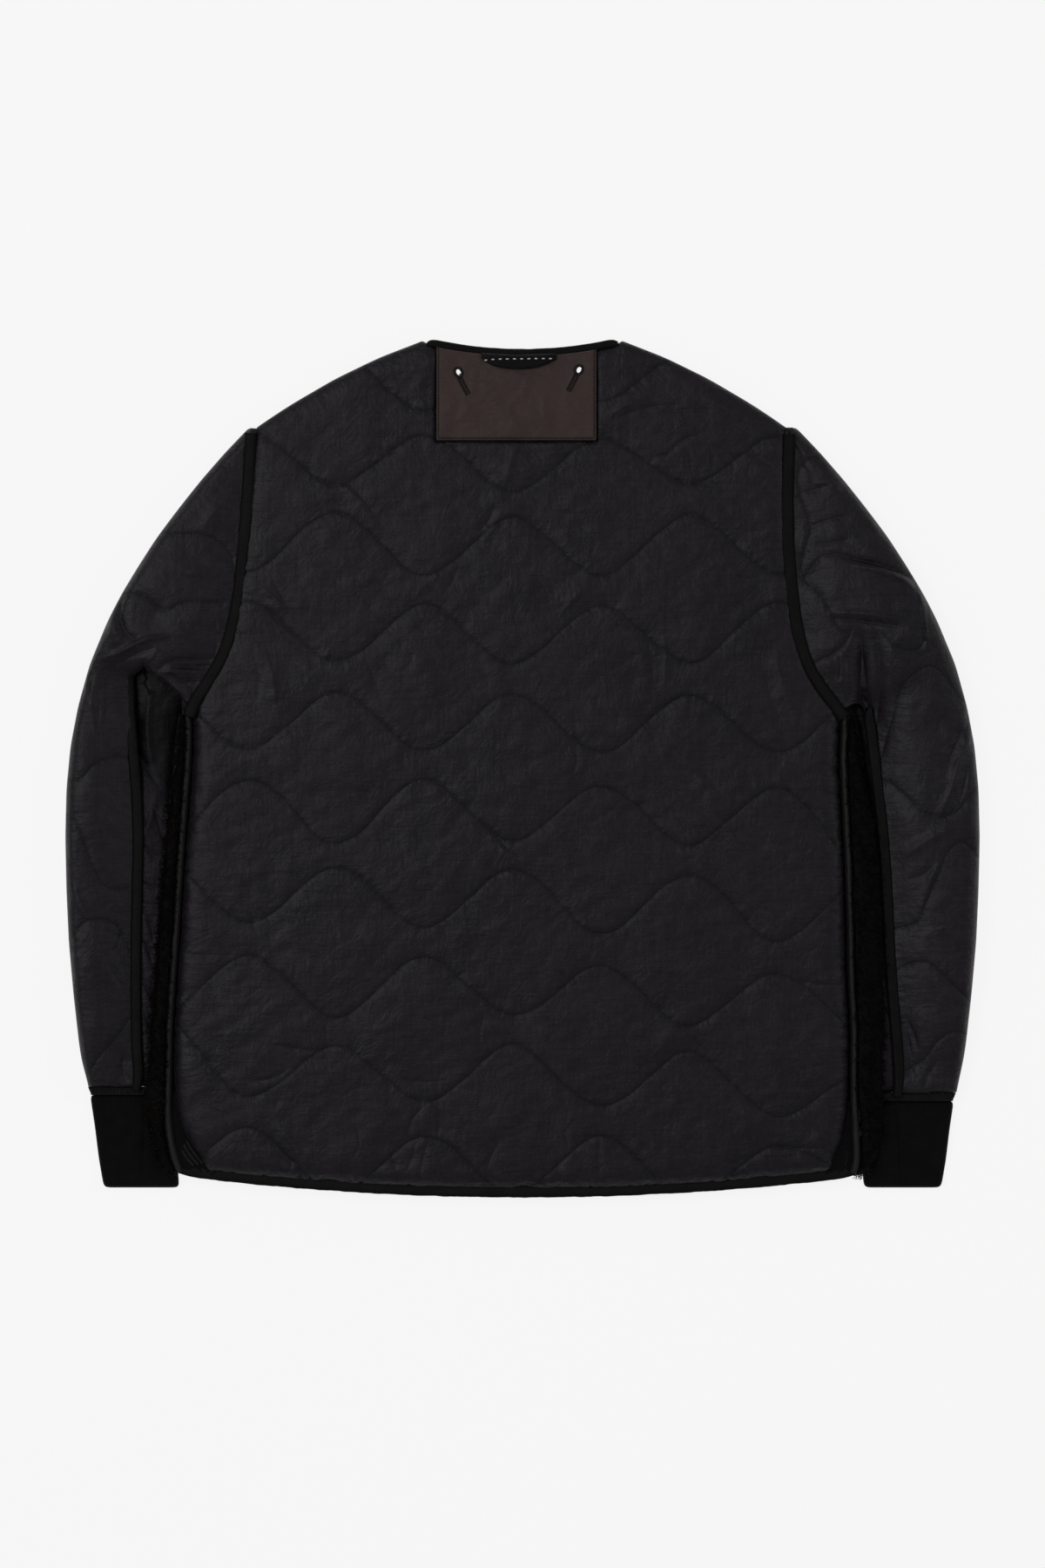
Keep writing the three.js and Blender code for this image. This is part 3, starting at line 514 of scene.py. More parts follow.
def quilted_nylon(name, gloss=0.32):
    """Crinkled nylon with a soft sheen and gathers along its stitching, with painted shade along the stitching, at its
    edge and in the underarm hollows, and painted crinkle highlights and shade.
    """
    finish, tree, shader = new_finish(name)
    place = shader_node(tree, "ShaderNodeTexCoord").outputs["Object"]
    quilting = field_node(tree, "from_quilting")
    edge_field = field_node(tree, "from_edge")
    raise_surface(tree, shader, summed(
        tree,
        streak_height(tree, quilting, 230, 40, 0.75 * MM, 8 * MM),
        streak_height(tree, edge_field, 210, 35, 1.4 * MM, 10 * MM),
        noise_height(tree, place, 34, 0.6 * MM, 3.0, 0.6, 1.6, ridged=True),
        noise_height(tree, place, 95, 0.25 * MM, 3.0, 0.6, 1.2, ridged=True),
        noise_height(tree, scaled_vector(tree, place, (50, 300, 60)), 1.0, 0.32 * MM, 2.0),
        noise_height(tree, scaled_vector(tree, place, (280, 50, 60)), 1.0, 0.26 * MM, 2.0),
    ))
    sizes = {"Vector": place, "Scale": 14, "Detail": 6.0, "Roughness": 0.65}
    mottle = shader_node(tree, "ShaderNodeTexNoise", sizes).outputs[0]
    tone = two_tones(tree, mottle, [0.8 * c for c in NYLON], [NYLON[0] * 1.25, NYLON[1] * 1.15, NYLON[2] * 1.25])
    away = shader_node(tree, "ShaderNodeSeparateXYZ", {0: quilting}).outputs[1]
    # The colour darkens along the stitching: narrowly for the stitch holes and painted shade in their groove, and more
    # broadly for painted shade beside it.
    patchy = shader_node(tree, "ShaderNodeTexNoise", {"Vector": place, "Scale": 22, "Detail": 2.0}).outputs[0]
    stitch_shade_depth = shader_node(tree, "ShaderNodeMapRange", {0: patchy, 1: 0.35, 2: 0.65, 3: 0.6, 4: 0.92}).outputs[0]
    limits = {0: away, 1: 0.4 * MM, 2: 1.9 * MM, 3: 0.42, 4: 1.0}
    stitch_holes_and_shade = shader_node(tree, "ShaderNodeMapRange", limits, interpolation_type="SMOOTHSTEP").outputs[0]
    limits = {0: away, 1: 0.5 * MM, 2: 6.5 * MM, 3: stitch_shade_depth, 4: 1.0}
    hollow_shade = shader_node(tree, "ShaderNodeMapRange", limits, interpolation_type="SMOOTHSTEP").outputs[0]
    stitch_holes_and_shade = math_node(tree, "MULTIPLY", stitch_holes_and_shade, hollow_shade)
    rim = shader_node(tree, "ShaderNodeSeparateXYZ", {0: edge_field}).outputs[1]
    limits = {0: rim, 1: 0.2 * MM, 2: 2.5 * MM, 3: 0.45, 4: 1.0}
    rim_shade = shader_node(tree, "ShaderNodeMapRange", limits, interpolation_type="SMOOTHSTEP").outputs[0]
    # Painted shade in the underarm hollows: the colour darkens with the share of sink that the under sleeves store.
    sunk = shader_node(tree, "ShaderNodeSeparateXYZ", {0: field_node(tree, "sunk")}).outputs[0]
    lit = math_node(tree, "MULTIPLY", stitch_holes_and_shade, math_node(tree, "SUBTRACT", 1.0, sunk))
    lit = math_node(tree, "MULTIPLY", lit, rim_shade)
    # Painted crinkle highlights and shade: two sets of lighter lines and two of darker.
    for vector, scale, at_line, width in ((place, 30, 1.33, 0.045), (place, 47, 0.66, 0.05),
                                          (scaled_vector(tree, place, (1.0, 3.2, 1.0)), 34, 1.26, 0.06),
                                          (scaled_vector(tree, place, (3.0, 1.0, 1.0)), 30, 0.72, 0.06)):
        lit = math_node(tree, "MULTIPLY", lit, painted_crinkle_light(tree, vector, scale, at_line, width))
    weave = summed(tree, noise_height(tree, scaled_vector(tree, place, (22, 760, 60)), 1.0, 0.95, 2.0),
                   noise_height(tree, scaled_vector(tree, place, (480, 40, 60)), 1.0, 0.4, 2.0))
    lit = math_node(tree, "MULTIPLY", lit, math_node(tree, "ADD", weave, 1.0))
    shade = shader_node(tree, "ShaderNodeVectorMath", {0: tone, "Scale": lit}, operation="SCALE").outputs[0]
    tree.links.new(shade, shader.inputs["Base Color"])
    limits = {0: mottle, 1: 0.3, 2: 0.7, 3: NYLON_ROUGHNESS - 0.05, 4: NYLON_ROUGHNESS + 0.08}
    tree.links.new(shader_node(tree, "ShaderNodeMapRange", limits).outputs[0], shader.inputs["Roughness"])
    shader.inputs["Specular IOR Level"].default_value = gloss
    shader.inputs["Sheen Weight"].default_value = 0.06
    shader.inputs["Sheen Roughness"].default_value = 0.4
    return finish


def smooth_rise(distance, reach):
    """From 0 at an edge to 1 at reach from it, round like the side of a cushion."""
    near = np.clip(distance / reach, 0, 1)
    return np.sqrt(1 - (1 - near) ** 2)


def step_up(value, low, high):
    share = np.clip((value - low) / (high - low), 0, 1)
    return share * share * (3 - 2 * share)


def puffed(quilting, x, y, edge_away, tall=PUFF):
    """How far quilted cloth stands above its stitching."""
    away, nearest = quilting.near(x, y)
    along = quilting.along[nearest] + 0.9 * quilting.which[nearest]
    closed_in = np.minimum(away, edge_away)
    rise = 0.45 * (1 - np.exp(-closed_in / (1.7 * MM))) + 0.55 * (1 - np.exp(-closed_in / (15 * MM)))
    return tall * rise + 0.5 * MM * gathers_beside(along, away, 6 * MM, 9 * MM, 11)


def gathers_beside(along, away, spacing, reach, seed):
    """Narrow troughs with round ridges between them, drawn in by a seam, from -1 to about 0.5."""
    run = soft_noise(along, away / 3.5, spacing, seed)
    strong = 0.5 + 0.5 * soft_noise(along, away / 8, 3.1 * spacing, seed + 1)
    return (0.5 * np.abs(run) ** 0.7 - (1 - np.abs(run)) ** 6) * strong * np.exp(-away / reach)


nylon = quilted_nylon("black_nylon")

BACK_EDGE = 14.6 * MM
BACK_UNDER = 12.3 * MM
BACK_SEAM = 17.6 * MM
BACK_FLAT = 21.4 * MM
QUILT_TURNS = (
    (306, 357, 357, 306, 357, 316, 357, 320, 357),
    (244, 288, 244, 286, 238, 284, 244, 285, 244),
    (220, 168, 220, 166, 216, 165, 218, 166, 218),
    (91, 143, 91, 140, 89, 141, 90, 141, 90),
    (63, 15, 64, 16, 63, 13, 62, 13, 62),
    (-62, -11, -64, -10, -63, -16, -66, -17, -86),
    (-82, -134, -86, -137, -87, -143, -92, -150, -100),
    (-212, -161, -214, -163, -213, -171, -221, -176, -229),
    (-214, -284, -239, -288, -239, -292, -245, -301, -262),
    (-352, -311, -365, -317, -366, -318, -370, -326, -352),
)
ARMHOLE_LOW = 50 * MM

def crease_relief(creases, x, y):
    """The relief of creases. Each is its line, its half width and its height, below 0 for a trough."""
    relief = np.zeros_like(x)
    for line, width, tall in creases:
        course = Course([line])
        close = ((x > line[:, 0].min() - 4 * width) & (x < line[:, 0].max() + 4 * width)
                 & (y > line[:, 1].min() - 4 * width) & (y < line[:, 1].max() + 4 * width))
        if close.any():
            away, nearest = course.near(x[close], y[close])
            faded = np.sin(np.pi * np.clip(course.share[nearest] * 0.94 + 0.03, 0, 1)) ** 0.6
            sharp = np.exp(-away / width) if tall < 0 else np.exp(-(away / width) ** 2)
            relief[close] += tall * faded * sharp
    return relief


def trough(width, tall, *places):
    return laid_row(*places), width * MM, -tall * MM


def ridge(width, tall, *places):
    return laid_row(*places), width * MM, tall * MM


back_rows = [wave_row(heights) for heights in QUILT_TURNS]
back_creases = [
    trough(1.2, 0.9, (-64, -268), (-78, -270), (-96, -270)),
    trough(1.4, 1.2, (-200, -257), (-208, -264), (-218, -268), (-233, -270)),
    trough(1.3, 0.9, (-172, -243), (-190, -243), (-214, -238)),
    trough(1.2, 0.9, (-296, -161), (-270, -161), (-246, -161)),
    trough(1.6, 1.0, (-92, -322), (-95, -336), (-99, -346)),
    trough(2.2, 1.2, (-83, -324), (-86, -340), (-89, -352)),
    trough(1.8, 1.0, (-73, -298), (-71, -308), (-73, -318)),
    trough(1.6, 1.1, (-84, -291), (-93, -299), (-98, -312)),
    trough(1.8, 1.0, (-112, -334), (-110, -344), (-106, -354)),
    trough(2.4, 1.2, (-34, -216), (-37, -228), (-36, -242)),
    trough(2.2, 1.2, (66, -320), (65, -336), (67, -352)),
    trough(1.4, 1.0, (27, -339), (31, -346), (33, -356)),
    trough(1.4, 0.8, (46, -338), (52, -346), (56, -352)),
    trough(1.4, 0.9, (82, -330), (88, -340), (92, -350)),
    trough(1.4, 0.8, (36, -310), (38, -320), (40, -326)),
    trough(2.0, 1.0, (-32, -352), (-28, -336), (-20, -322)),
    trough(1.4, 0.9, (-170, -219), (-168, -228), (-169, -236)),
    trough(1.2, 0.8, (-196, -168), (-195, -178), (-198, -184)),
    trough(1.6, 1.1, (100, -70), (110, -78), (117, -89), (123, -98)),
    trough(1.5, 1.1, (163, -46), (169, -55), (178, -64)),
    trough(1.4, 1.1, (238, -183), (252, -186), (275, -187)),
    trough(1.6, 1.2, (146, -231), (152, -240), (162, -246)),
    ridge(3.2, 0.8, (189, -290), (193, -302), (190, -318)),
    trough(1.5, 1.2, (206, -326), (228, -326), (250, -328), (270, -325)),
    trough(1.6, 0.9, (176, -343), (190, -336), (204, -332)),
    trough(2.0, 1.2, (82, 300), (96, 307), (114, 311), (132, 312)),
    ridge(2.4, 1.0, (76, 304), (90, 312), (106, 317)),
    trough(1.8, 1.0, (104, 301), (120, 306), (146, 308), (168, 306)),
    trough(1.6, 1.1, (188, 270), (198, 269), (208, 264), (217, 257)),
    trough(1.8, 1.0, (122, 266), (130, 276), (142, 284), (158, 288)),
    trough(1.8, 0.9, (108, 262), (116, 268), (126, 268)),
    ridge(3.0, 0.9, (34, 134), (42, 144), (54, 154)),
    ridge(3.0, 0.8, (-92, 146), (-84, 158), (-72, 166)),
    trough(1.5, 1.0, (-69, 148), (-61, 158), (-56, 172)),
    ridge(2.6, 0.9, (-228, 156), (-218, 150), (-206, 138)),
    trough(1.8, 1.0, (-214, 158), (-206, 146), (-198, 134), (-190, 122)),
    trough(3.0, 1.0, (-222, 140), (-212, 128), (-200, 118)),
    ridge(3.4, 0.8, (-160, 246), (-146, 236), (-132, 218)),
    trough(2.2, 0.9, (-150, 244), (-136, 230), (-122, 212)),
    trough(1.6, 0.9, (-24, 224), (-28, 214), (-40, 200)),
    ridge(2.6, 0.8, (-18, 222), (-24, 208), (-34, 196)),
    trough(1.6, 0.9, (-36, -44), (-22, -60), (-6, -76), (10, -94)),
    ridge(2.6, 0.8, (-28, -58), (-12, -76), (2, -92)),
    trough(4.0, 1.0, (104, 12), (124, -12), (146, -34), (162, -42)),
    ridge(5.0, 0.9, (140, 8), (158, -18), (168, -36)),
    trough(4.0, 0.9, (152, 2), (166, -16), (178, -30)),
    trough(3.0, 0.8, (104, 118), (112, 96), (112, 72)),
    ridge(3.0, 0.7, (120, 120), (124, 96), (121, 66)),
    trough(3.0, 0.8, (-134, 92), (-126, 74), (-124, 58)),
    ridge(3.4, 0.8, (-222, 100), (-214, 76), (-212, 50)),
    trough(3.0, 0.8, (-232, 104), (-226, 78), (-228, 50)),
    ridge(4.0, 0.8, (218, 96), (224, 70), (238, 40)),
    trough(3.4, 0.9, (206, 88), (214, 60), (226, 34)),
    ridge(3.0, 0.8, (-6, 276), (-10, 262), (-14, 250)),
    trough(2.4, 0.9, (44, 276), (34, 262), (28, 250)),
    trough(3.0, 0.8, (-234, -262), (-222, -274), (-206, -296)),
    ridge(3.2, 0.9, (-212, -306), (-196, -326), (-182, -346)),
    trough(3.4, 1.2, (-220, -316), (-206, -332), (-194, -348)),
]
back_quilting = Course(back_rows)
back_lines = lines_round("back_panel")
back_line = rounded_line(back_lines[0], 2.4 * MM, 7 * MM)
back_holes = [rounded_line(line, 0.7 * MM, 0.8 * MM, corner=80) for line in back_lines[1:]]
back_line = met(back_line, lines_round("hem_binding")[0], gap=5.5 * MM, overlap=1.5 * MM, share=1.0)
back_edge = Course([ring(back_line)])
patch_low, patch_high = (np.array(corner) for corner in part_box("neck_patch"))
patch_outline = ring(lines_round("neck_patch")[0])[:, :2]
patch_round = Course([patch_outline])


def in_patch(x, y, fade):
    """1 well inside the neck patch and 0 outside it."""
    depth = np.minimum(np.minimum(x - patch_low[0], patch_high[0] - x), y - patch_low[1])
    return step_up(depth, -fade, fade)


def back_height(x, y):
    away, nearest = back_edge.near(x, y)
    seam = BACK_SEAM + 1.6 * MM * step_up(y, ARMHOLE_LOW, ARMHOLE_LOW + 30 * MM)
    level = BACK_EDGE + (seam - BACK_EDGE) * smooth_rise(away, 2.2 * MM)
    level += (BACK_FLAT - seam) * smooth_rise(away - 3 * MM, 16 * MM)
    under_patch = in_patch(x, y, 3 * MM)
    level += (1 - 0.85 * under_patch) * puffed(back_quilting, x, y, away) * np.clip(away / (4 * MM), 0, 1)
    pull = gathers_beside(back_edge.along[nearest], away, 5.5 * MM, 9 * MM, 21)
    level += (3.2 - 1.8 * step_up(y, -330 * MM, -300 * MM)) * MM * pull * np.clip(away / (1.5 * MM), 0, 1)
    inner = np.clip(away / (12 * MM), 0, 1) * (1 - 0.7 * under_patch)
    level += inner * 0.7 * MM * soft_noise(x, y, 34 * MM, 5, 3)
    level += inner * 0.4 * MM * soft_noise(x + 0.4 * y, 1.7 * (y - 0.4 * x), 13 * MM, 8, 3)
    level -= 1.5 * MM * np.exp(-(patch_round.near(x, y)[0] / (1.6 * MM)) ** 2)
    return level + crease_relief(back_creases, x, y)


def back_under(x, y):
    away, _ = back_edge.near(x, y)
    return BACK_EDGE - (BACK_EDGE - BACK_UNDER) * smooth_rise(away, 3 * MM)


scallop = gathers_beside(np.arange(len(back_line)) * 2.2 * MM, np.zeros(len(back_line)), 6 * MM, 1.0, 23)
outwards = np.roll(back_line, -1, 0)[:, :2] - np.roll(back_line, 1, 0)[:, :2]
outwards = np.stack([outwards[:, 1], -outwards[:, 0]], axis=1) / np.linalg.norm(outwards, axis=1)[:, None]
back_line[:, :2] += outwards * np.where(back_line[:, 1] < 45 * MM, 2.0 * MM * (scallop + 0.1), 0)[:, None]
back_edge = Course([ring(back_line)])
back_line[:, 2] = BACK_EDGE
for hole in back_holes:
    hole[:, 2] = BACK_FLAT + 1.0 * MM
back_form = closed_form(back_line, back_holes, back_height, back_under,
                        plan_points(back_line, back_rows + [patch_outline], 3.7 * MM, back_creases), plan_points(back_line, [], 14 * MM))
back_mesh = form_mesh("back_panel_cloth", back_form)
mark_seams(back_mesh, back_quilting, back_edge, 1.0)
back_mesh.materials.append(nylon)
back = link_piece("back_panel_cloth", back_mesh)
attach(back, "root")
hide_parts("back_panel")


# The sleeves: the same quilted wall, each folded flat as a tube. The upper side is gathered where
# it is sewn to the body and along the bound seam, and it overhangs in a fold at the underarm.
SLEEVE_WALL = 11 * MM
SLEEVE_FOLD_REACH = 9 * MM
SLEEVE_SEAM_REACH = 2.6 * MM


def outer_side(line):
    """Which points of a sleeve's edge are its outer fold, going by the middle at each height."""
    x, y = np.abs(line[:, 0]), line[:, 1]
    found = np.zeros(len(line), bool)
    for k in range(len(line)):
        level = np.abs(y - y[k]) < 9 * MM
        found[k] = x[k] > (x[level].min() + x[level].max()) / 2
    return found


def resting_height(node, line, edge, margin, step=3 * MM, blur=1.5):
    """The height of a node's upper side as a smooth rule, read where it is clear of its edge."""
    form = joined_form(node)
    tree = BVHTree.FromBMesh(form)
    form.free()
    low = line[:, :2].min(0) - 4 * step
    high = line[:, :2].max(0) + 4 * step
    xs, ys = np.arange(low[0], high[0], step), np.arange(low[1], high[1], step)
    grid_x, grid_y = np.meshgrid(xs, ys, indexing="ij")
    flat = np.column_stack([grid_x.ravel(), grid_y.ravel()])
    away, nearest = edge.near(flat[:, 0], flat[:, 1])
    known = inside(flat, line) & (away > margin[nearest])
    level = np.full(len(flat), np.nan)
    for k in np.flatnonzero(known):
        hit = tree.ray_cast(Vector((flat[k, 0], flat[k, 1], 0.1)), Vector((0, 0, -1)))[0]
        level[k] = np.nan if hit is None else hit.z
    level = level.reshape(grid_x.shape)
    while np.isnan(level).any():
        padded = np.pad(level, 1, constant_values=np.nan)
        around = np.stack([padded[2:, 1:-1], padded[:-2, 1:-1], padded[1:-1, 2:], padded[1:-1, :-2]])
        count = (~np.isnan(around)).sum(0)
        mean = np.nansum(around, 0) / np.maximum(count, 1)
        level = np.where(np.isnan(level) & (count > 0), mean, level)
    kernel = np.exp(-0.5 * (np.arange(-4, 5) / blur) ** 2)
    kernel /= kernel.sum()
    for axis in (0, 1):
        wide = np.pad(level, [(4, 4) if a == axis else (0, 0) for a in (0, 1)], mode="edge")
        level = np.apply_along_axis(lambda values: np.convolve(values, kernel, "valid"), axis, wide)

    def rule(x, y):
        u = np.clip((x - xs[0]) / step, 0, len(xs) - 1.001)
        v = np.clip((y - ys[0]) / step, 0, len(ys) - 1.001)
        i, j = u.astype(int), v.astype(int)
        fu, fv = u - i, v - j
        return ((level[i, j] * (1 - fu) + level[i + 1, j] * fu) * (1 - fv)
                + (level[i, j + 1] * (1 - fu) + level[i + 1, j + 1] * fu) * fv)
    return rule


def sleeve_form(node, line, rows, creases, seed, fill=2.7 * MM, wall=SLEEVE_WALL, gathers=1.6 * MM, sunk=None):
    """A sleeve piece as a flattened tube of cloth with a narrow hollow inside it."""
    edge = Course([ring(line)], step=2.2 * MM)
    folded = outer_side(edge.points)
    kernel = np.ones(7) / 7
    softness = np.convolve(np.pad(folded.astype(float), 3, mode="wrap"), kernel, "valid")
    reach = SLEEVE_SEAM_REACH + (SLEEVE_FOLD_REACH - SLEEVE_SEAM_REACH) * softness
    rest = resting_height(node, line, edge, 0.95 * reach)
    quilting = Course(rows or [ring(line)])

    def rim_height(x, y, nearest):
        full = rest(x, y)
        return np.where(folded[nearest], 0.5 * full, np.maximum(full - 3.5 * MM, 0.55 * full))

    def upper(x, y):
        away, nearest = edge.near(x, y)
        rim = rim_height(x, y, nearest)
        level = rim + (rest(x, y) - rim) * smooth_rise(away, reach[nearest])
        near_fold = np.clip(away / (8 * MM), 0, 1)
        level += near_fold * (puffed(quilting, x, y, away + 12 * MM * softness[nearest]) - 0.6 * PUFF)
        pull = gathers_beside(edge.along[nearest], away, 5 * MM, 8 * MM, seed)
        level += gathers * (1 - softness[nearest]) * pull * np.clip(away / (1.5 * MM), 0, 1)
        level += near_fold * 0.9 * MM * soft_noise(x, y, 26 * MM, seed + 1, 3)
        level += 1.3 * crease_relief(creases, x, y) * np.clip(away / (3 * MM), 0, 1)
        if sunk is not None:
            level = np.maximum(level - sunk(x, y), 1.5 * MM)
        return level

    def lower(x, y):
        away, nearest = edge.near(x, y)
        rim = rim_height(x, y, nearest)
        stitched, _ = quilting.near(x, y)
        level = np.minimum(rim, upper(x, y)) * (1 - smooth_rise(away, np.minimum(reach[nearest], 9 * MM)))
        return level + 1.4 * MM * np.exp(-stitched / (4 * MM)) * np.clip(away / (9 * MM), 0, 1)

    _, near_edge = edge.near(line[:, 0], line[:, 1])
    line = line.copy()
    line[:, 2] = rim_height(line[:, 0], line[:, 1], near_edge)
    if sunk is not None:
        line[:, 2] = np.maximum(line[:, 2] - sunk(line[:, 0], line[:, 1]), 1 * MM)
    outer = closed_form(line, [], upper, lower, plan_points(line, rows, fill, creases),
                        plan_points(line, [], 2 * fill))
    hollow = inset(line, 0.8 * wall)
    hollow = even_line(ring(hollow), 7 * MM)[:-1]
    middle = rest(hollow[:, 0], hollow[:, 1]) / 2
    hollow = np.column_stack([hollow, middle])
    loose = six_ways(line[:, :2].min(0), line[:, :2].max(0), 11 * MM)
    loose = loose[inside(loose, hollow)]
    loose = loose[Course([ring(hollow)]).near(loose[:, 0], loose[:, 1])[0] > 5 * MM]

    def half_gap(x, y):
        return np.maximum(0.3 * MM, rest(x, y) / 2 - wall - 0.5 * MM)

    def mid_height(x, y):
        return rest(x, y) / 2 if sunk is None else np.maximum(rest(x, y) / 2 - 0.6 * sunk(x, y), 0.7 * MM)

    hollow[:, 2] = mid_height(hollow[:, 0], hollow[:, 1])
    inner = closed_form(hollow, [], lambda x, y: mid_height(x, y) + half_gap(x, y),
                        lambda x, y: mid_height(x, y) - half_gap(x, y), loose, loose)
    mesh = form_mesh(node + "_cloth", outer, inner)
    mark_seams(mesh, quilting, edge, seed)
    # The under sleeves store a share of their sink, which the finish uses as painted shade in the underarm hollows.
    if sunk is not None:
        places = mesh_places(mesh)
        painted_hollow_shade = 0.72 * sunk(places[:, 0], places[:, 1]) / HOLLOW_DEEP
        add_vectors(mesh, "sunk", [painted_hollow_shade, painted_hollow_shade, painted_hollow_shade])
    mesh.materials.append(nylon)
    return link_piece(node + "_cloth", mesh)


sleeve_rows = {
    "left": [
        laid_row((-330, 214), (-312, 205), (-300, 201), (-280, 201.5), (-265, 198), (-255, 190), (-249, 178), (-247, 160)),
        laid_row((-345, 150), (-333, 151), (-322, 147), (-313, 137), (-304, 134), (-296, 141), (-280, 144), (-262, 142)),
        laid_row((-396, -8), (-386, -12), (-378, -9), (-370, 2), (-360, 8), (-349, 11), (-338, 8), (-325, 0)),
        laid_row((-396, -38), (-386, -44), (-378, -60), (-370, -84), (-363, -99), (-353, -105), (-338, -103), (-325, -98)),
        laid_row((-394, -152), (-385, -141), (-375, -131), (-362, -129), (-351, -134), (-342, -148), (-336, -164), (-325, -178)),
        laid_row((-384, -282), (-372, -260), (-364, -248), (-353, -236), (-345, -226), (-336, -212), (-325, -200)),
    ],
    "right": [
        laid_row((262, 272), (247, 266), (239, 259), (236, 248), (240, 232), (247, 214), (248, 202), (243, 188), (240, 172)),
        laid_row((244, 160), (252, 155), (260, 146), (265, 134), (271, 122), (278, 116)),
        laid_row((338, 158), (341, 146), (344, 128), (346, 112), (342, 102), (331, 100), (320, 105), (311, 113)),
        laid_row((306, 0), (313, 24), (320, 50), (326, 70), (338, 83), (352, 89), (364, 78), (376, 60), (388, 52)),
        laid_row((304, -8), (316, -12), (330, -25), (345, -38), (360, -44), (374, -38), (386, -22), (398, -10)),
        laid_row((310, -140), (326, -138), (340, -134), (348, -114), (356, -95), (364, -74), (376, -62), (386, -68), (398, -84)),
        laid_row((314, -182), (326, -172), (338, -167), (350, -167), (362, -177), (375, -191), (392, -206)),
        laid_row((318, -255), (330, -262), (345, -252), (358, -234), (370, -226), (386, -230)),
    ],
}
sleeve_creases = {
    "left": [
        trough(2.5, 2.6, (-341, 152), (-346, 138), (-345, 124), (-340, 114), (-331, 109)),
        ridge(5, 2.0, (-354, 150), (-355, 130), (-350, 114), (-344, 106)),
        ridge(2.2, 2.6, (-356, 96), (-345, 99), (-336, 105), (-322, 111), (-306, 113)),
        trough(2.5, 1.8, (-350, 88), (-343, 92), (-336, 96), (-324, 101), (-315, 103)),
        ridge(2.6, 1.6, (-376, 62), (-374, 78), (-370, 88), (-366, 96)),
        trough(1.6, 1.6, (-373, 58), (-371, 72), (-372, 84)),
        trough(1.8, 2.6, (-313, 84), (-305, 91), (-297, 93.5), (-284, 93), (-268, 93)),
        trough(2.4, 3.0, (-301, 88), (-291, 87), (-278, 87), (-268, 88)),
        ridge(2.2, 1.8, (-312, 81), (-300, 83), (-286, 82.5), (-272, 82)),
        trough(1.9, 2.6, (-304, 80), (-297, 76), (-290, 73.5), (-279, 74)),
        ridge(2.0, 1.6, (-310, 71), (-303, 70), (-297, 67), (-291, 62)),
        trough(1.6, 1.8, (-289, 74), (-287, 67), (-283, 61)),
        trough(1.8, 1.2, (-256, 143), (-262, 134), (-264, 120), (-263, 104), (-266, 94)),
        trough(2.0, 1.1, (-264, 114), (-250, 108), (-246, 118)),
        ridge(4.5, 1.2, (-276, 204), (-266, 220), (-254, 232), (-243, 238)),
        ridge(5, 1.1, (-300, 176), (-286, 168), (-270, 170), (-262, 180)),
        trough(1.8, 1.4, (-345, -140), (-348, -152), (-352, -162)),
        trough(2.2, 1.4, (-343, -246), (-345, -258), (-342, -270)),
        ridge(3.0, 1.2, (-385, -104), (-379, -122), (-368, -134)),
        ridge(3.4, 1.2, (-376, 98), (-372, 66), (-367, 30)),
        ridge(3.0, 1.0, (-358, 70), (-362, 40), (-360, 20)),
    ],
    "right": [
        trough(2.0, 2.8, (262, 183), (272, 184), (286, 179), (302, 176), (318, 171), (330, 165), (340, 158)),
        ridge(2.6, 2.0, (286, 174), (302, 171), (318, 166), (330, 160), (338, 152)),
        ridge(3.4, 1.8, (318, 190), (326, 182), (334, 172), (341, 163)),
        ridge(2.0, 1.6, (341, 152), (344, 136), (347, 118), (348, 104)),
        trough(2.2, 1.8, (243, 162), (250, 174), (258, 182)),
        trough(2.2, 2.4, (268, 128), (285, 127), (300, 125), (314, 123), (326, 121)),
        ridge(3.2, 1.8, (266, 133), (285, 133), (302, 131), (322, 128)),
        trough(9.0, 12.0, (290, 118), (292, 104), (293, 80), (294, 50), (296, 10)),
        trough(6.0, 4.0, (304, 118), (306, 100), (308, 76), (306, 40)),
        trough(1.8, 2.2, (252, 90), (262, 95), (272, 101), (280, 110), (284, 120)),
        trough(1.4, 1.4, (266, 98), (268, 86), (268, 74)),
        trough(1.4, 1.4, (272, 98), (273, 86), (272, 74)),
        trough(1.4, 1.2, (277, 96), (278, 84), (277, 70)),
        ridge(3.0, 1.2, (250, 244), (262, 246), (272, 238)),
        trough(2.0, 1.4, (240, 236), (250, 238), (262, 244)),
        trough(2.0, 1.3, (246, 206), (262, 213), (280, 217)),
        trough(2.2, 1.2, (252, 192), (266, 193), (280, 196)),
        trough(2.0, 2.0, (386, 40), (376, 28), (369, 12), (364, -6)),
        ridge(3.0, 1.8, (388, 30), (380, 18), (374, 2), (370, -16), (362, -34)),
        trough(2.0, 1.8, (385, 12), (382, -6), (378, -24), (370, -38)),
        ridge(4.0, 1.2, (366, -52), (352, -60), (338, -68), (328, -78)),
        ridge(3.0, 1.1, (360, -80), (350, -98), (344, -118)),
        trough(2.0, 1.1, (354, -84), (346, -92), (332, -96)),
        trough(4.0, 1.8, (322, -212), (330, -226), (334, -244), (336, -268)),
        trough(2.0, 1.4, (330, -214), (338, -232), (342, -250)),
        trough(2.0, 1.2, (346, -276), (350, -262), (358, -252)),
    ],
}

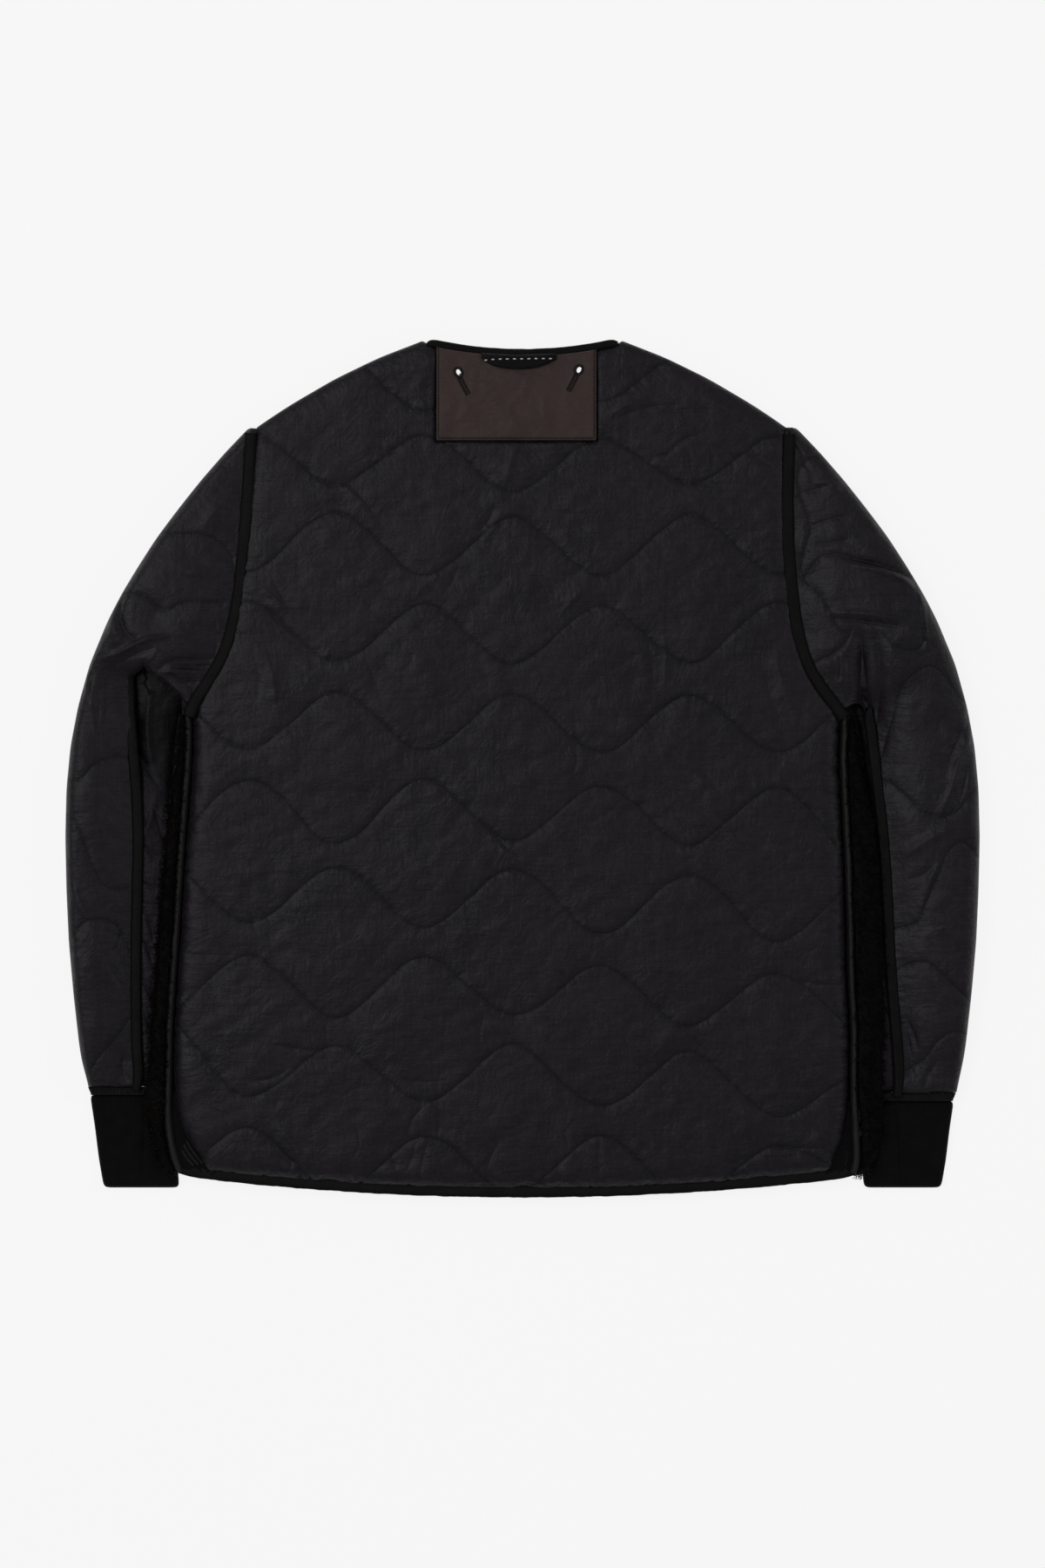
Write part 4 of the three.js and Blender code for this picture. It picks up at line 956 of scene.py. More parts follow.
under_creases = {
    "left": [
        trough(5, 3.5, (-339, 100), (-337, 60), (-334, 20), (-330, -10)),
        trough(5, 3.5, (-292, 66), (-296, 40), (-301, 0), (-305, -30)),
        trough(2.5, 2.0, (-334, 20), (-326, 4), (-318, -10)),
        ridge(3.5, 1.5, (-322, 62), (-324, 30), (-320, 4)),
        trough(2.2, 1.6, (-320, -30), (-314, -44), (-310, -62)),
        ridge(3.0, 1.4, (-316, -24), (-320, -44), (-327, -58)),
        trough(2.0, 1.6, (-328, -66), (-321, -74), (-312, -78)),
        trough(1.8, 1.5, (-328, -98), (-320, -104), (-311, -104)),
        trough(1.8, 1.6, (-326, -126), (-319, -136), (-318, -150)),
        trough(2.0, 1.8, (-327, -150), (-321, -158), (-319, -168)),
        trough(1.8, 1.5, (-327, -188), (-321, -194), (-317, -204)),
        trough(1.8, 1.5, (-326, -214), (-320, -222), (-318, -234)),
    ],
    "right": [
        trough(6, 3.5, (284, 70), (289, 30), (296, -10), (302, -50)),
        ridge(3.0, 1.6, (300, -60), (304, -90), (306, -120)),
        trough(2.0, 1.6, (300, -96), (305, -104), (311, -108)),
        trough(1.8, 1.6, (302, -132), (307, -140), (312, -150)),
        trough(1.8, 1.6, (302, -160), (306, -170), (312, -178)),
        trough(1.8, 1.6, (303, -196), (308, -204), (314, -210)),
        trough(1.8, 1.6, (304, -228), (309, -238), (314, -246)),
    ],
}
HOLLOW_DEEP = 9 * MM
SLEEVE_END = {"left": -275.5 * MM, "right": -280.8 * MM}
HOLLOW_FROM = {"left": (-60 * MM, 40 * MM), "right": (-120 * MM, 20 * MM)}
# A copy of the nylon with less sheen for the under sleeves: painted shade in the underarm hollows.
hollow_shaded_nylon = quilted_nylon("dull_black_nylon", gloss=0.19)

def led_down(line, end):
    """A sleeve's outline led on down to its gathered end."""
    moved = line.copy()
    share = step_up(line[:, 1], -250 * MM, line[:, 1].min() + 1 * MM)
    moved[:, 1] += (end - line[:, 1].min()) * share
    moved[:, 0] *= 1 - 0.006 * share * (np.abs(line[:, 0]) > 350 * MM)
    return moved


for side, seed in (("left", 41), ("right", 67)):
    top, under = f"sleeve_top_{side}", f"sleeve_under_{side}"
    top_line = rounded_line(lines_round(top)[0], 2.2 * MM, 5 * MM, corner=50)
    under_line = rounded_line(lines_round(under)[0], 2.2 * MM, 5 * MM, corner=50)
    top_line = led_down(top_line, SLEEVE_END[side])
    under_line = led_down(under_line, SLEEVE_END[side])
    hollow_low, hollow_high = HOLLOW_FROM[side]

    def hollow_sink(x, y):
        return HOLLOW_DEEP * step_up(y, hollow_low, hollow_high)

    tucked = [2.5 * MM * step_up(line[:, 1], hollow_low, hollow_high) for line in (top_line, under_line)]
    sleeve = sleeve_form(top, met(top_line, under_line, back_line, overlap=tucked[0]), sleeve_rows[side],
                         sleeve_creases[side], seed)
    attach(sleeve, "root")
    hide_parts(top)
    lining = sleeve_form(under, met(under_line, top_line, back_line, overlap=tucked[1]), [], under_creases[side],
                         seed + 5, fill=2.2 * MM, wall=5.5 * MM, gathers=2.2 * MM, sunk=hollow_sink)
    # The under sleeve takes the nylon copy with painted shade.
    lining.data.materials[0] = hollow_shaded_nylon
    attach(lining, "root")
    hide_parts(under)


# The front panels lie under the back with their fine side down, quilted in the same waves. The
# front opening, its neckline and its hem are bound in tape.
FRONT_EDGE = 5.5 * MM
FRONT_TOP = 11.6 * MM
FRONT_FLAT = 2.6 * MM

for side in ("left", "right"):
    front_line = rounded_line(lines_round(f"front_{side}")[0], 3 * MM, 6 * MM)
    front_line[:, 2] = FRONT_EDGE
    front_edge = Course([ring(front_line)])

    def front_height(x, y):
        away, _ = front_edge.near(x, y)
        return FRONT_EDGE + (FRONT_TOP - FRONT_EDGE) * smooth_rise(away, 4 * MM)

    def front_under(x, y):
        away, _ = front_edge.near(x, y)
        level = FRONT_EDGE - (FRONT_EDGE - FRONT_FLAT) * smooth_rise(away, 5 * MM)
        return level - puffed(back_quilting, x, y, away) * np.clip(away / (5 * MM), 0, 1)

    front_form = closed_form(front_line, [], front_height, front_under,
                             plan_points(front_line, [], 14 * MM), plan_points(front_line, back_rows, 5.5 * MM))
    front_mesh = form_mesh(f"front_{side}_cloth", front_form)
    mark_seams(front_mesh, back_quilting, front_edge, 5.0)
    front_mesh.materials.append(nylon)
    front = link_piece(f"front_{side}_cloth", front_mesh)
    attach(front, "root")
    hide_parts(f"front_{side}")


# The binding tapes: soft black twill tape, folded over the raw edges and stitched down along both
# of its sides. The tape along the side of the body is filled with the seam, so it stands up round.
TAPE = (0.0060, 0.0052, 0.0050)


def woven_tape(name, colour, across=900, along=260, lift=0.12 * MM, gloss=0.14):
    """A close ribbed weave with a faint sheen and a soft, uneven surface."""
    finish, tree, shader = new_finish(name)
    strip = field_node(tree, "along_strip")
    place = shader_node(tree, "ShaderNodeTexCoord").outputs["Object"]
    raise_surface(tree, shader, summed(
        tree,
        noise_height(tree, scaled_vector(tree, strip, (across, along, 1)), 1.0, lift, 2.0),
        noise_height(tree, scaled_vector(tree, strip, (300, 40, 1)), 1.0, 0.3 * MM, 3.0),
        noise_height(tree, place, 160, 0.25 * MM, 4.0),
    ))
    sizes = {"Vector": place, "Scale": 60, "Detail": 5.0}
    mottle = shader_node(tree, "ShaderNodeTexNoise", sizes).outputs[0]
    tone = two_tones(tree, mottle, [0.65 * c for c in colour], [1.4 * c for c in colour])
    across_share = shader_node(tree, "ShaderNodeSeparateXYZ", {0: strip}).outputs[2]
    limits = {0: math_node(tree, "ABSOLUTE", across_share), 1: 0.35, 2: 0.8, 3: 1.0, 4: 0.12}
    edge_shade = shader_node(tree, "ShaderNodeMapRange", limits, interpolation_type="SMOOTHSTEP").outputs[0]
    shade = shader_node(tree, "ShaderNodeVectorMath", {0: tone, "Scale": edge_shade}, operation="SCALE").outputs[0]
    tree.links.new(shade, shader.inputs["Base Color"])
    shader.inputs["Roughness"].default_value = 0.62
    shader.inputs["Specular IOR Level"].default_value = gloss
    shader.inputs["Sheen Weight"].default_value = 0.05
    shader.inputs["Sheen Roughness"].default_value = 0.4
    return finish


def directions(line):
    """Which way a line runs at each of its points."""
    along = np.gradient(line[:, :2], axis=0)
    return along / np.linalg.norm(along, axis=1)[:, None]


def strip_of(node, upright, step=1.2 * MM, blur=4 * MM):
    """The middle line of a narrow strip and half its width, read from one end to the other."""
    line = ring(lines_round(node)[0])[:, :2]
    main, cross = (1, 0) if upright else (0, 1)
    places = np.arange(line[:, main].min() + 0.3 * MM, line[:, main].max() - 0.3 * MM, step)
    middle, half = [], []
    for place in places:
        a, b = line[:-1], line[1:]
        crossed = (a[:, main] <= place) != (b[:, main] <= place)
        a, b = a[crossed], b[crossed]
        at = a[:, cross] + (place - a[:, main]) / (b[:, main] - a[:, main]) * (b[:, cross] - a[:, cross])
        middle.append((at.min() + at.max()) / 2)
        half.append((at.max() - at.min()) / 2)
    centre = np.stack([middle, places] if upright else [places, middle], axis=1)
    data = eased(np.column_stack([centre, half]), step, blur)
    along = directions(data)
    lean = np.abs(along[:, main])
    return data[:, :2], data[:, 2] * lean, along


def led_on(centre, half, start=None, end=None, step=1.2 * MM, blur=6 * MM):
    """A strip led on from its first or its last end to another place."""
    data = np.column_stack([centre, half])
    if start is not None:
        data = np.concatenate([[[start[0] * MM, start[1] * MM, half[4]]], data[4:]])
    if end is not None:
        data = np.concatenate([data[:-4], [[end[0] * MM, end[1] * MM, half[-4]]]])
    data = eased(data, step, blur)
    return data[:, :2], data[:, 2], directions(data)


def swept(centre, half, along, low, high, power=2.6, sides=18, waver=0.0, seed=0):
    """A closed strip along a line, flat or round in section: its places, faces and strip field."""
    count = len(centre)
    low, high = np.broadcast_to(low, count), np.broadcast_to(high, count)
    across = np.stack([-along[:, 1], along[:, 0]], axis=1)
    turn = np.linspace(0, 2 * np.pi, sides, endpoint=False)
    flat = np.sign(np.cos(turn)) * np.abs(np.cos(turn)) ** (2 / power)
    tall = np.sign(np.sin(turn)) * np.abs(np.sin(turn)) ** (2 / power)
    steps = np.r_[0, np.cumsum(np.linalg.norm(np.diff(centre, axis=0), axis=1))]
    sway = 1 + waver * soft_noise(steps[:, None] + 0 * flat, 0.02 * turn[None, :] + 0 * steps[:, None],
                                  7 * MM, seed, 2)
    out = half[:, None] * flat[None, :] * sway
    middle, rise = (low + high) / 2, (high - low) / 2
    x = centre[:, 0, None] + across[:, 0, None] * out
    y = centre[:, 1, None] + across[:, 1, None] * out
    z = middle[:, None] + rise[:, None] * tall[None, :] * sway
    places = np.stack([x, y, z], axis=2).reshape(-1, 3)
    k = np.arange(count - 1)[:, None] * sides
    j = np.arange(sides)[None, :]
    after = (j + 1) % sides
    quads = np.stack([k + j, k + sides + j, k + sides + after, k + after], axis=2).reshape(-1, 4)
    faces = quads.tolist()
    ends = np.array([[*centre[0], middle[0]], [*centre[-1], middle[-1]]])
    total = count * sides
    for i in range(sides):
        faces.append((total, i, (i + 1) % sides))
        faces.append((total + 1, total - sides + (i + 1) % sides, total - sides + i))
    field = np.stack([np.broadcast_to(steps[:, None], out.shape), out, np.broadcast_to(flat, out.shape)], axis=2)
    field = np.concatenate([field.reshape(-1, 3), [[0, 0, 0], [steps[-1], 0, 0]]])
    return np.concatenate([places, ends]), faces, field


def strip_mesh(name, *strips):
    """One smooth mesh of one or more closed strips."""
    places, faces, fields, first = [], [], [], 0
    for strip_places, strip_faces, field in strips:
        places.append(strip_places)
        faces += [tuple(first + i for i in face) for face in strip_faces]
        fields.append(field)
        first += len(strip_places)
    mesh = bpy.data.meshes.new(name)
    mesh.from_pydata(np.concatenate(places).tolist(), [], faces)
    mesh.polygons.foreach_set("use_smooth", [True] * len(mesh.polygons))
    shell = bmesh.new()
    shell.from_mesh(mesh)
    bmesh.ops.recalc_face_normals(shell, faces=shell.faces)
    shell.to_mesh(mesh)
    shell.free()
    add_vectors(mesh, "along_strip", list(np.concatenate(fields).T))
    return mesh


def finished(name, mesh, node, finish):
    """Link a piece that takes a node's place, with its finish."""
    mesh.materials.append(finish)
    piece = link_piece(name, mesh)
    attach(piece, "root")
    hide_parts(node)
    return piece


tape = woven_tape("twill_tape", TAPE)
dark_tape = woven_tape("dark_tape", (0.0052, 0.0038, 0.0037), gloss=0.2)
# A lighter, glossier copy of the tape for the round side tube; its lighter colour is a painted highlight.
round_tape = woven_tape("round_tape", [1.3 * c for c in TAPE], gloss=0.42)
# A much darker copy of the tape: painted shade for the web in the gap beside the side tube.
hidden_tape = woven_tape("hidden_tape", [0.25 * c for c in TAPE], gloss=0.05)
armhole_courses = {
    "left": laid_row((-287, 44), (-285, 53), (-275, 68), (-261, 89), (-251, 114), (-244, 150), (-239.5, 195), (-236, 240),
                     (-234, 288)),
    "right": laid_row((277, 43), (272, 51), (257.5, 68), (244.5, 90), (237, 115), (232, 150), (228.7, 190), (228, 235),
                      (230, 287)),
}

for side, sign in (("left", -1), ("right", 1)):
    node = f"armhole_binding_{side}"
    centre = eased(armhole_courses[side], 1.2 * MM, 9 * MM)
    half, along = np.full(len(centre), 5.1 * MM), directions(centre)
    node_low, node_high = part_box(node)[0][2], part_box(node)[1][2]
    strip = swept(centre, half + 0.2 * MM, along, node_low - 1.5 * MM, node_high + 0.4 * MM, waver=0.04, seed=3)
    finished(node + "_tape", strip_mesh(node + "_tape", strip), node, tape)

    node = f"sleeve_binding_{side}"
    centre, half, along = strip_of(node, upright=True)
    node_low, node_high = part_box(node)[0][2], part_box(node)[1][2]
    centre, half, along = led_on(centre, half, start=(centre[0, 0] / MM, SLEEVE_END[side] / MM - 2.5))
    sink = 5 * MM * step_up(centre[:, 1], 0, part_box(node)[1][1])
    strip = swept(centre, half + 0.3 * MM, along, node_low - 3 * MM - sink, node_high + 0.6 * MM - sink,
                  waver=0.05, seed=5)
    finished(node + "_tape", strip_mesh(node + "_tape", strip), node, tape)

    node = f"side_binding_{side}"
    centre, half, along = strip_of(node, upright=True)
    node_low, node_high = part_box(node)[0][2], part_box(node)[1][2]
    centre, half, along = led_on(centre, half, start=(-294, -347.5) if side == "left" else (284, -349),
                                 end=(-288, 50) if side == "left" else (276, 49))
    outwards = sign * np.stack([half, np.zeros(len(centre))], axis=1)
    tube = swept(centre + 0.2 * outwards, 0.78 * half, along, node_low, node_high, power=2.0, waver=0.05, seed=7)
    inner = centre - sign * np.stack([np.full(len(centre), 5.0 * MM), np.zeros(len(centre))], axis=1)
    web = swept(inner, np.full(len(centre), 5.2 * MM), along, 10.9 * MM, 12.5 * MM, seed=8)
    mesh = strip_mesh(node + "_tape", tube, web)
    piece = finished(node + "_tape", mesh, node, round_tape)
    # The web takes the darker tape copy, painted shade in the gap.
    mesh.materials.append(hidden_tape)
    for polygon in mesh.polygons[len(tube[1]):]:
        polygon.material_index = 1

centre, half, _ = strip_of("hem_binding", upright=False)
centre, half, along = led_on(centre, half, start=(-296, -345.5), end=(286, -347))
hem_in = np.stack([np.zeros(len(centre)), np.full(len(centre), 0.6 * MM)], axis=1)
strip = swept(centre + hem_in, half + 0.8 * MM, along, 11.4 * MM, 14.4 * MM, power=2.4, waver=0.06, seed=9)
finished("hem_binding_tape", strip_mesh("hem_binding_tape", strip), "hem_binding", dark_tape)

centre, half, along = strip_of("neck_binding", upright=False)
strip = swept(centre - (0, 1.0 * MM), half + 1.0 * MM, along, 12.1 * MM, 20.6 * MM, waver=0.03, seed=10)
finished("neck_binding_tape", strip_mesh("neck_binding_tape", strip), "neck_binding", tape)


def softened(node, step, rounds, relief=0.0, lumps=6 * MM, seed=0):
    """A node's own form again with finer faces, eased edges and a slightly uneven surface."""
    form = joined_form(node)
    for _ in range(7):
        long = [edge for edge in form.edges if edge.calc_length() > step]
        if not long:
            break
        bmesh.ops.subdivide_edges(form, edges=long, cuts=1)
        bmesh.ops.triangulate(form, faces=form.faces[:])
    for _ in range(rounds):
        bmesh.ops.smooth_vert(form, verts=form.verts, factor=0.5, use_axis_x=True, use_axis_y=True, use_axis_z=True)
    form.normal_update()
    mesh = bpy.data.meshes.new(node + "_cloth")
    form.to_mesh(mesh)
    form.free()
    places = mesh_places(mesh)
    normals = np.array([vertex.normal[:] for vertex in mesh.vertices])
    lump = soft_noise(places[:, 0] + places[:, 2], places[:, 1] + 0.7 * places[:, 2], lumps, seed, 2)
    places = places + normals * (relief * lump)[:, None]
    places[:, 2] = np.maximum(places[:, 2], 0)
    mesh.vertices.foreach_set("co", places.ravel())
    mesh.polygons.foreach_set("use_smooth", [True] * len(mesh.polygons))
    mesh.update()
    add_vectors(mesh, "along_strip", [places[:, 0] + places[:, 1], places[:, 2], np.zeros(len(places))])
    return mesh


for side in ("left", "right"):
    node = f"front_binding_{side}"
    finished(node + "_tape", softened(node, 9 * MM, 2, 0.3 * MM, seed=12), node, tape)


# The knitted parts: double rib cuffs, the gathered edge where each sleeve is sewn into its cuff,
# and the knit that shows at the hem's corners, with its loose loops of undyed elastic.
KNIT = (0.0051, 0.0048, 0.005)
KNIT_WALL = 3.4 * MM


def rib_knit(name, colour, pitch, lift):
    """Fine upright ribs with a dry, slightly hairy surface."""
    finish, tree, shader = new_finish(name)
    place = shader_node(tree, "ShaderNodeTexCoord").outputs["Object"]
    rib = shader_node(tree, "ShaderNodeTexWave", {"Vector": place, "Scale": 2 * math.pi / (20 * pitch),
                                                   "Distortion": 0.35, "Detail": 1.0, "Detail Scale": 60.0},
                      bands_direction="X").outputs[0]
    raise_surface(tree, shader, summed(
        tree,
        math_node(tree, "MULTIPLY", rib, lift),
        noise_height(tree, scaled_vector(tree, place, (700, 1500, 700)), 1.0, 0.12 * MM, 2.0),
        noise_height(tree, place, 70, 0.7 * MM, 4.0),
    ))
    sizes = {"Vector": place, "Scale": 90, "Detail": 5.0}
    mottle = shader_node(tree, "ShaderNodeTexNoise", sizes).outputs[0]
    tone = two_tones(tree, mottle, [0.75 * c for c in colour], [1.3 * c for c in colour])
    tree.links.new(tone, shader.inputs["Base Color"])
    shader.inputs["Roughness"].default_value = 0.85
    shader.inputs["Specular IOR Level"].default_value = 0.12
    shader.inputs["Sheen Weight"].default_value = 0.05
    return finish


knit = rib_knit("rib_knit_black", KNIT, 1.7 * MM, 0.3 * MM)
gathered = rib_knit("gathered_edge", [2.8 * c for c in KNIT], 2.9 * MM, 0.9 * MM)
cuff_seams = {
    "left": trough(1.2, 2.4, (-325.5, -276), (-325.6, -300), (-326.5, -325), (-328.5, -350), (-329, -364)),
    "right": trough(1.2, 2.4, (320.5, -276), (321, -294), (323, -312), (324.5, -340), (325, -364)),
}


def tube_form(name, line, rest, reach, wall, fill, relief, floor=0.0, rows=()):
    """A flattened tube with thin walls, as its mesh."""
    edge = Course([ring(line)], step=2 * MM)

    def upper(x, y):
        away, _ = edge.near(x, y)
        return floor + rest / 2 + rest / 2 * smooth_rise(away, reach) + relief(x, y, away)

    def lower(x, y):
        away, _ = edge.near(x, y)
        return floor + rest / 2 - rest / 2 * smooth_rise(away, reach)

    line = line.copy()
    line[:, 2] = floor + rest / 2
    loose = plan_points(line, list(rows), fill)
    outer = closed_form(line, [], upper, lower, loose, plan_points(line, [], 2 * fill))
    hollow = even_line(ring(inset(line, wall)), 4 * MM)[:-1]
    hollow = np.column_stack([hollow, np.full(len(hollow), floor + rest / 2)])
    inside_points = six_ways(line[:, :2].min(0), line[:, :2].max(0), 7 * MM)
    inside_points = inside_points[inside(inside_points, hollow)]
    if len(inside_points):
        clear = Course([ring(hollow)]).near(inside_points[:, 0], inside_points[:, 1])[0]
        inside_points = inside_points[clear > 3 * MM]
    gap = max(0.4 * MM, rest / 2 - wall)
    inner = closed_form(hollow, [], lambda x, y: np.full_like(x, floor + rest / 2 + gap),
                        lambda x, y: np.full_like(x, floor + rest / 2 - gap), inside_points, inside_points)
    mesh = form_mesh(name, outer, inner)
    return mesh


def between(line, low, high):
    """A closed line squeezed or drawn out to reach from one height to another."""
    moved = line.copy()
    bottom, top = line[:, 1].min(), line[:, 1].max()
    moved[:, 1] = low + (line[:, 1] - bottom) * (high - low) / (top - bottom)
    return moved


CORNER_LOW = 11.2 * MM
CORNER_HIGH = 14.3 * MM
hem_corners = {
    "left": [(-300, -279), (-303, -300), (-303, -322), (-299, -340), (-292.5, -347), (-279, -350), (-263, -353.5),
             (-257, -352), (-264.5, -346), (-273.5, -337), (-280.5, -327), (-288.5, -313), (-295.5, -299),
             (-297.5, -280)],
    "right": [(279.5, -287), (278.5, -300), (276, -312), (271, -325), (265, -338), (258, -348), (261, -353),
              (273, -351.5), (284, -349), (285, -330), (284, -305), (282, -287)],
}

for side, sign in (("left", -1), ("right", 1)):
    node = f"cuff_{side}"
    band = f"sleeve_band_{side}"
    cuff_top = SLEEVE_END[side] - 6.2 * MM
    cuff_line = between(lines_round(node)[0], -362 * MM, cuff_top)
    widened = (1.2 + 3.6 * step_up(cuff_line[:, 1], cuff_top, -355 * MM)) * MM
    cuff_line[:, 0] += sign * widened * step_up(np.abs(cuff_line[:, 0]), 325 * MM, 345 * MM)
    cuff_line = np.roll(cuff_line, -int(np.argmax(cuff_line[:, 1] - 0.2 * np.abs(cuff_line[:, 0] - sign * 0.33))), 0)
    cuff_line = rounded_line(cuff_line, 1.5 * MM, 3.6 * MM, corner=180)
    band_line = between(lines_round(band)[0], cuff_top - 0.4 * MM, SLEEVE_END[side] + 0.8 * MM)
    band_line = rounded_line(band_line, 1.2 * MM, 1.2 * MM, corner=50)
    band_line[:, 0] += sign * 1.0 * MM * step_up(band_line[:, 1], cuff_top, SLEEVE_END[side]) \
        * (np.abs(band_line[:, 0]) > 350 * MM)
    seam = cuff_seams[side]

    def cuff_relief(x, y, away):
        inner = np.clip(away / (3 * MM), 0, 1)
        return crease_relief([seam], x, y) + inner * 0.35 * MM * soft_noise(x, y, 16 * MM, 33, 2)

    mesh = tube_form(node + "_cloth", cuff_line, 8 * MM, 3.4 * MM, KNIT_WALL, 2.2 * MM, cuff_relief,
                     rows=[seam[0]])
    finished(node + "_cloth", mesh, node, knit)

    def band_relief(x, y, away):
        pleat = np.sin(2 * np.pi * (x + 0.8 * MM * soft_noise(x, y, 6 * MM, 3)) / (2.9 * MM))
        return 0.8 * MM * pleat * np.clip(away / (1.2 * MM), 0, 1)

    mesh = tube_form(band + "_cloth", band_line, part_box(band)[1][2], 3 * MM, 3 * MM, 0.75 * MM, band_relief)
    finished(band + "_cloth", mesh, band, gathered)

    node = f"hem_corner_{side}"
    corner_line = rounded_line(laid_row(*hem_corners[side]), 1.4 * MM, 1.2 * MM, corner=60)
    low, high = CORNER_LOW, CORNER_HIGH
    corner_line = np.column_stack([corner_line[:, :2], np.full(len(corner_line), (low + high) / 2)])
    corner_edge = Course([ring(corner_line)])

    def corner_height(x, y):
        level = (low + high) / 2 + (high - low) / 2 * smooth_rise(corner_edge.near(x, y)[0], 2 * MM)
        return level + 0.35 * MM * soft_noise(x, y, 3 * MM, 14, 2)

    def corner_under(x, y):
        return (low + high) / 2 - (high - low) / 2 * smooth_rise(corner_edge.near(x, y)[0], 2 * MM)

    corner_form = closed_form(corner_line, [], corner_height, corner_under, plan_points(corner_line, [], 1.5 * MM),
                              plan_points(corner_line, [], 4 * MM))
    mesh = form_mesh(node + "_cloth", corner_form)
    finished(node + "_cloth", mesh, node, knit)


# Threads. The quilting and the armhole and sleeve bindings are stitched in the nylon's own black; the threads in brown
# for the patch and in undyed elastic for the hanger loop and the hem's corners are made here too.
def group_socket(tree, label, kind, default=None):
    socket = tree.interface.new_socket(label, in_out="INPUT", socket_type=kind)
    if default is not None:
        socket.default_value = default
    return socket.identifier


def stitch_tree():
    """Geometry nodes that lay stitches along the lines of a mesh."""
    tree = bpy.data.node_groups.new("stitches", "GeometryNodeTree")
    names = {
        "lines": group_socket(tree, "Lines", "NodeSocketGeometry"),
        "pitch": group_socket(tree, "Pitch", "NodeSocketFloat", 3.0 * MM),
        "size": group_socket(tree, "Size", "NodeSocketVector"),
        "thread": group_socket(tree, "Thread", "NodeSocketMaterial"),
    }
    tree.interface.new_socket("Stitches", in_out="OUTPUT", socket_type="NodeSocketGeometry")
    given = tree.nodes.new("NodeGroupInput")
    result = tree.nodes.new("NodeGroupOutput")
    curve = shader_node(tree, "GeometryNodeMeshToCurve", {0: given.outputs[0]})
    spaced = shader_node(tree, "GeometryNodeResampleCurve", {"Curve": curve.outputs[0],
                                                             "Length": given.outputs[1]}, mode="LENGTH")
    bead = shader_node(tree, "GeometryNodeMeshUVSphere", {"Segments": 6, "Rings": 4, "Radius": 0.5})
    shaped = shader_node(tree, "GeometryNodeTransform", {"Geometry": bead.outputs[0], "Scale": given.outputs[2]})
    along = tree.nodes.new("GeometryNodeInputTangent")
    turned = shader_node(tree, "FunctionNodeAlignRotationToVector", {"Vector": along.outputs[0]}, axis="X")
    laid = shader_node(tree, "GeometryNodeInstanceOnPoints", {"Points": spaced.outputs[0],
                                                              "Instance": shaped.outputs[0],
                                                              "Rotation": turned.outputs[0]})
    real = shader_node(tree, "GeometryNodeRealizeInstances", {0: laid.outputs[0]})
    smooth = shader_node(tree, "GeometryNodeSetShadeSmooth", {0: real.outputs[0]})
    coated = shader_node(tree, "GeometryNodeSetMaterial", {"Geometry": smooth.outputs[0],
                                                           "Material": given.outputs[3]})
    tree.links.new(coated.outputs[0], result.inputs[0])
    return tree, names


stitches, stitch_inputs = stitch_tree()


def grown_from(name, mesh, tree, values):
    """What a node tree makes of a mesh, as a plain mesh of its own."""
    source = link_piece(name + "_source", mesh)
    modifier = source.modifiers.new("make", "NODES")
    modifier.node_group = tree
    for key, value in values.items():
        modifier[key] = value
    bpy.context.view_layer.update()
    evaluated = source.evaluated_get(bpy.context.evaluated_depsgraph_get())
    made = bpy.data.meshes.new_from_object(evaluated)
    made.name = name
    bpy.data.objects.remove(source)
    return made


def sewn(name, lines, pitch, size, thread):
    """A piece of stitches along open lines, each stitch of the given length, width and height."""
    places, edges = [], []
    for line in lines:
        first = len(places)
        places += line.tolist()
        edges += [(i, i + 1) for i in range(first, first + len(line) - 1)]
    mesh = bpy.data.meshes.new(name + "_lines")
    mesh.from_pydata(places, edges, [])
    made = grown_from(name, mesh, stitches, {stitch_inputs["pitch"]: pitch, stitch_inputs["size"]: size,
                                             stitch_inputs["thread"]: thread})
    piece = link_piece(name, made)
    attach(piece, "root")
    return piece


def on_top(piece, line, lift):
    """A plan line laid on a piece's upper side, cut where it leaves the piece."""
    form = bmesh.new()
    form.from_mesh(piece.data)
    tree = BVHTree.FromBMesh(form)
    form.free()
    runs, run = [], []
    for x, y in even_line(np.asarray(line)[:, :2], 1.0 * MM):
        hit = tree.ray_cast(Vector((x, y, 0.1)), Vector((0, 0, -1)))[0]
        if hit is not None:
            run.append((x, y, hit.z + lift))
        elif run:
            runs.append(run)
            run = []
    runs.append(run)
    return [np.array(r) for r in runs if len(r) > 4]


def thread_finish(name, colour, roughness=0.6):
    finish, tree, shader = new_finish(name)
    place = shader_node(tree, "ShaderNodeTexCoord").outputs["Object"]
    sizes = {"Vector": place, "Scale": 500, "Detail": 2.0}
    mottle = shader_node(tree, "ShaderNodeTexNoise", sizes).outputs[0]
    tone = two_tones(tree, mottle, [0.7 * c for c in colour], [1.2 * c for c in colour])
    tree.links.new(tone, shader.inputs["Base Color"])
    raise_surface(tree, shader, noise_height(tree, place, 1400, 0.15 * MM, 2.0))
    shader.inputs["Roughness"].default_value = roughness
    return finish


black_thread = thread_finish("black_thread", (0.006, 0.0055, 0.0065))
brown_thread = thread_finish("brown_thread", (0.012, 0.0048, 0.0042))
edging_thread = thread_finish("edging_thread", (0.0085, 0.0052, 0.0046))
white_thread = thread_finish("white_thread", (0.75, 0.75, 0.73))
elastic = thread_finish("undyed_elastic", (0.13, 0.13, 0.125))

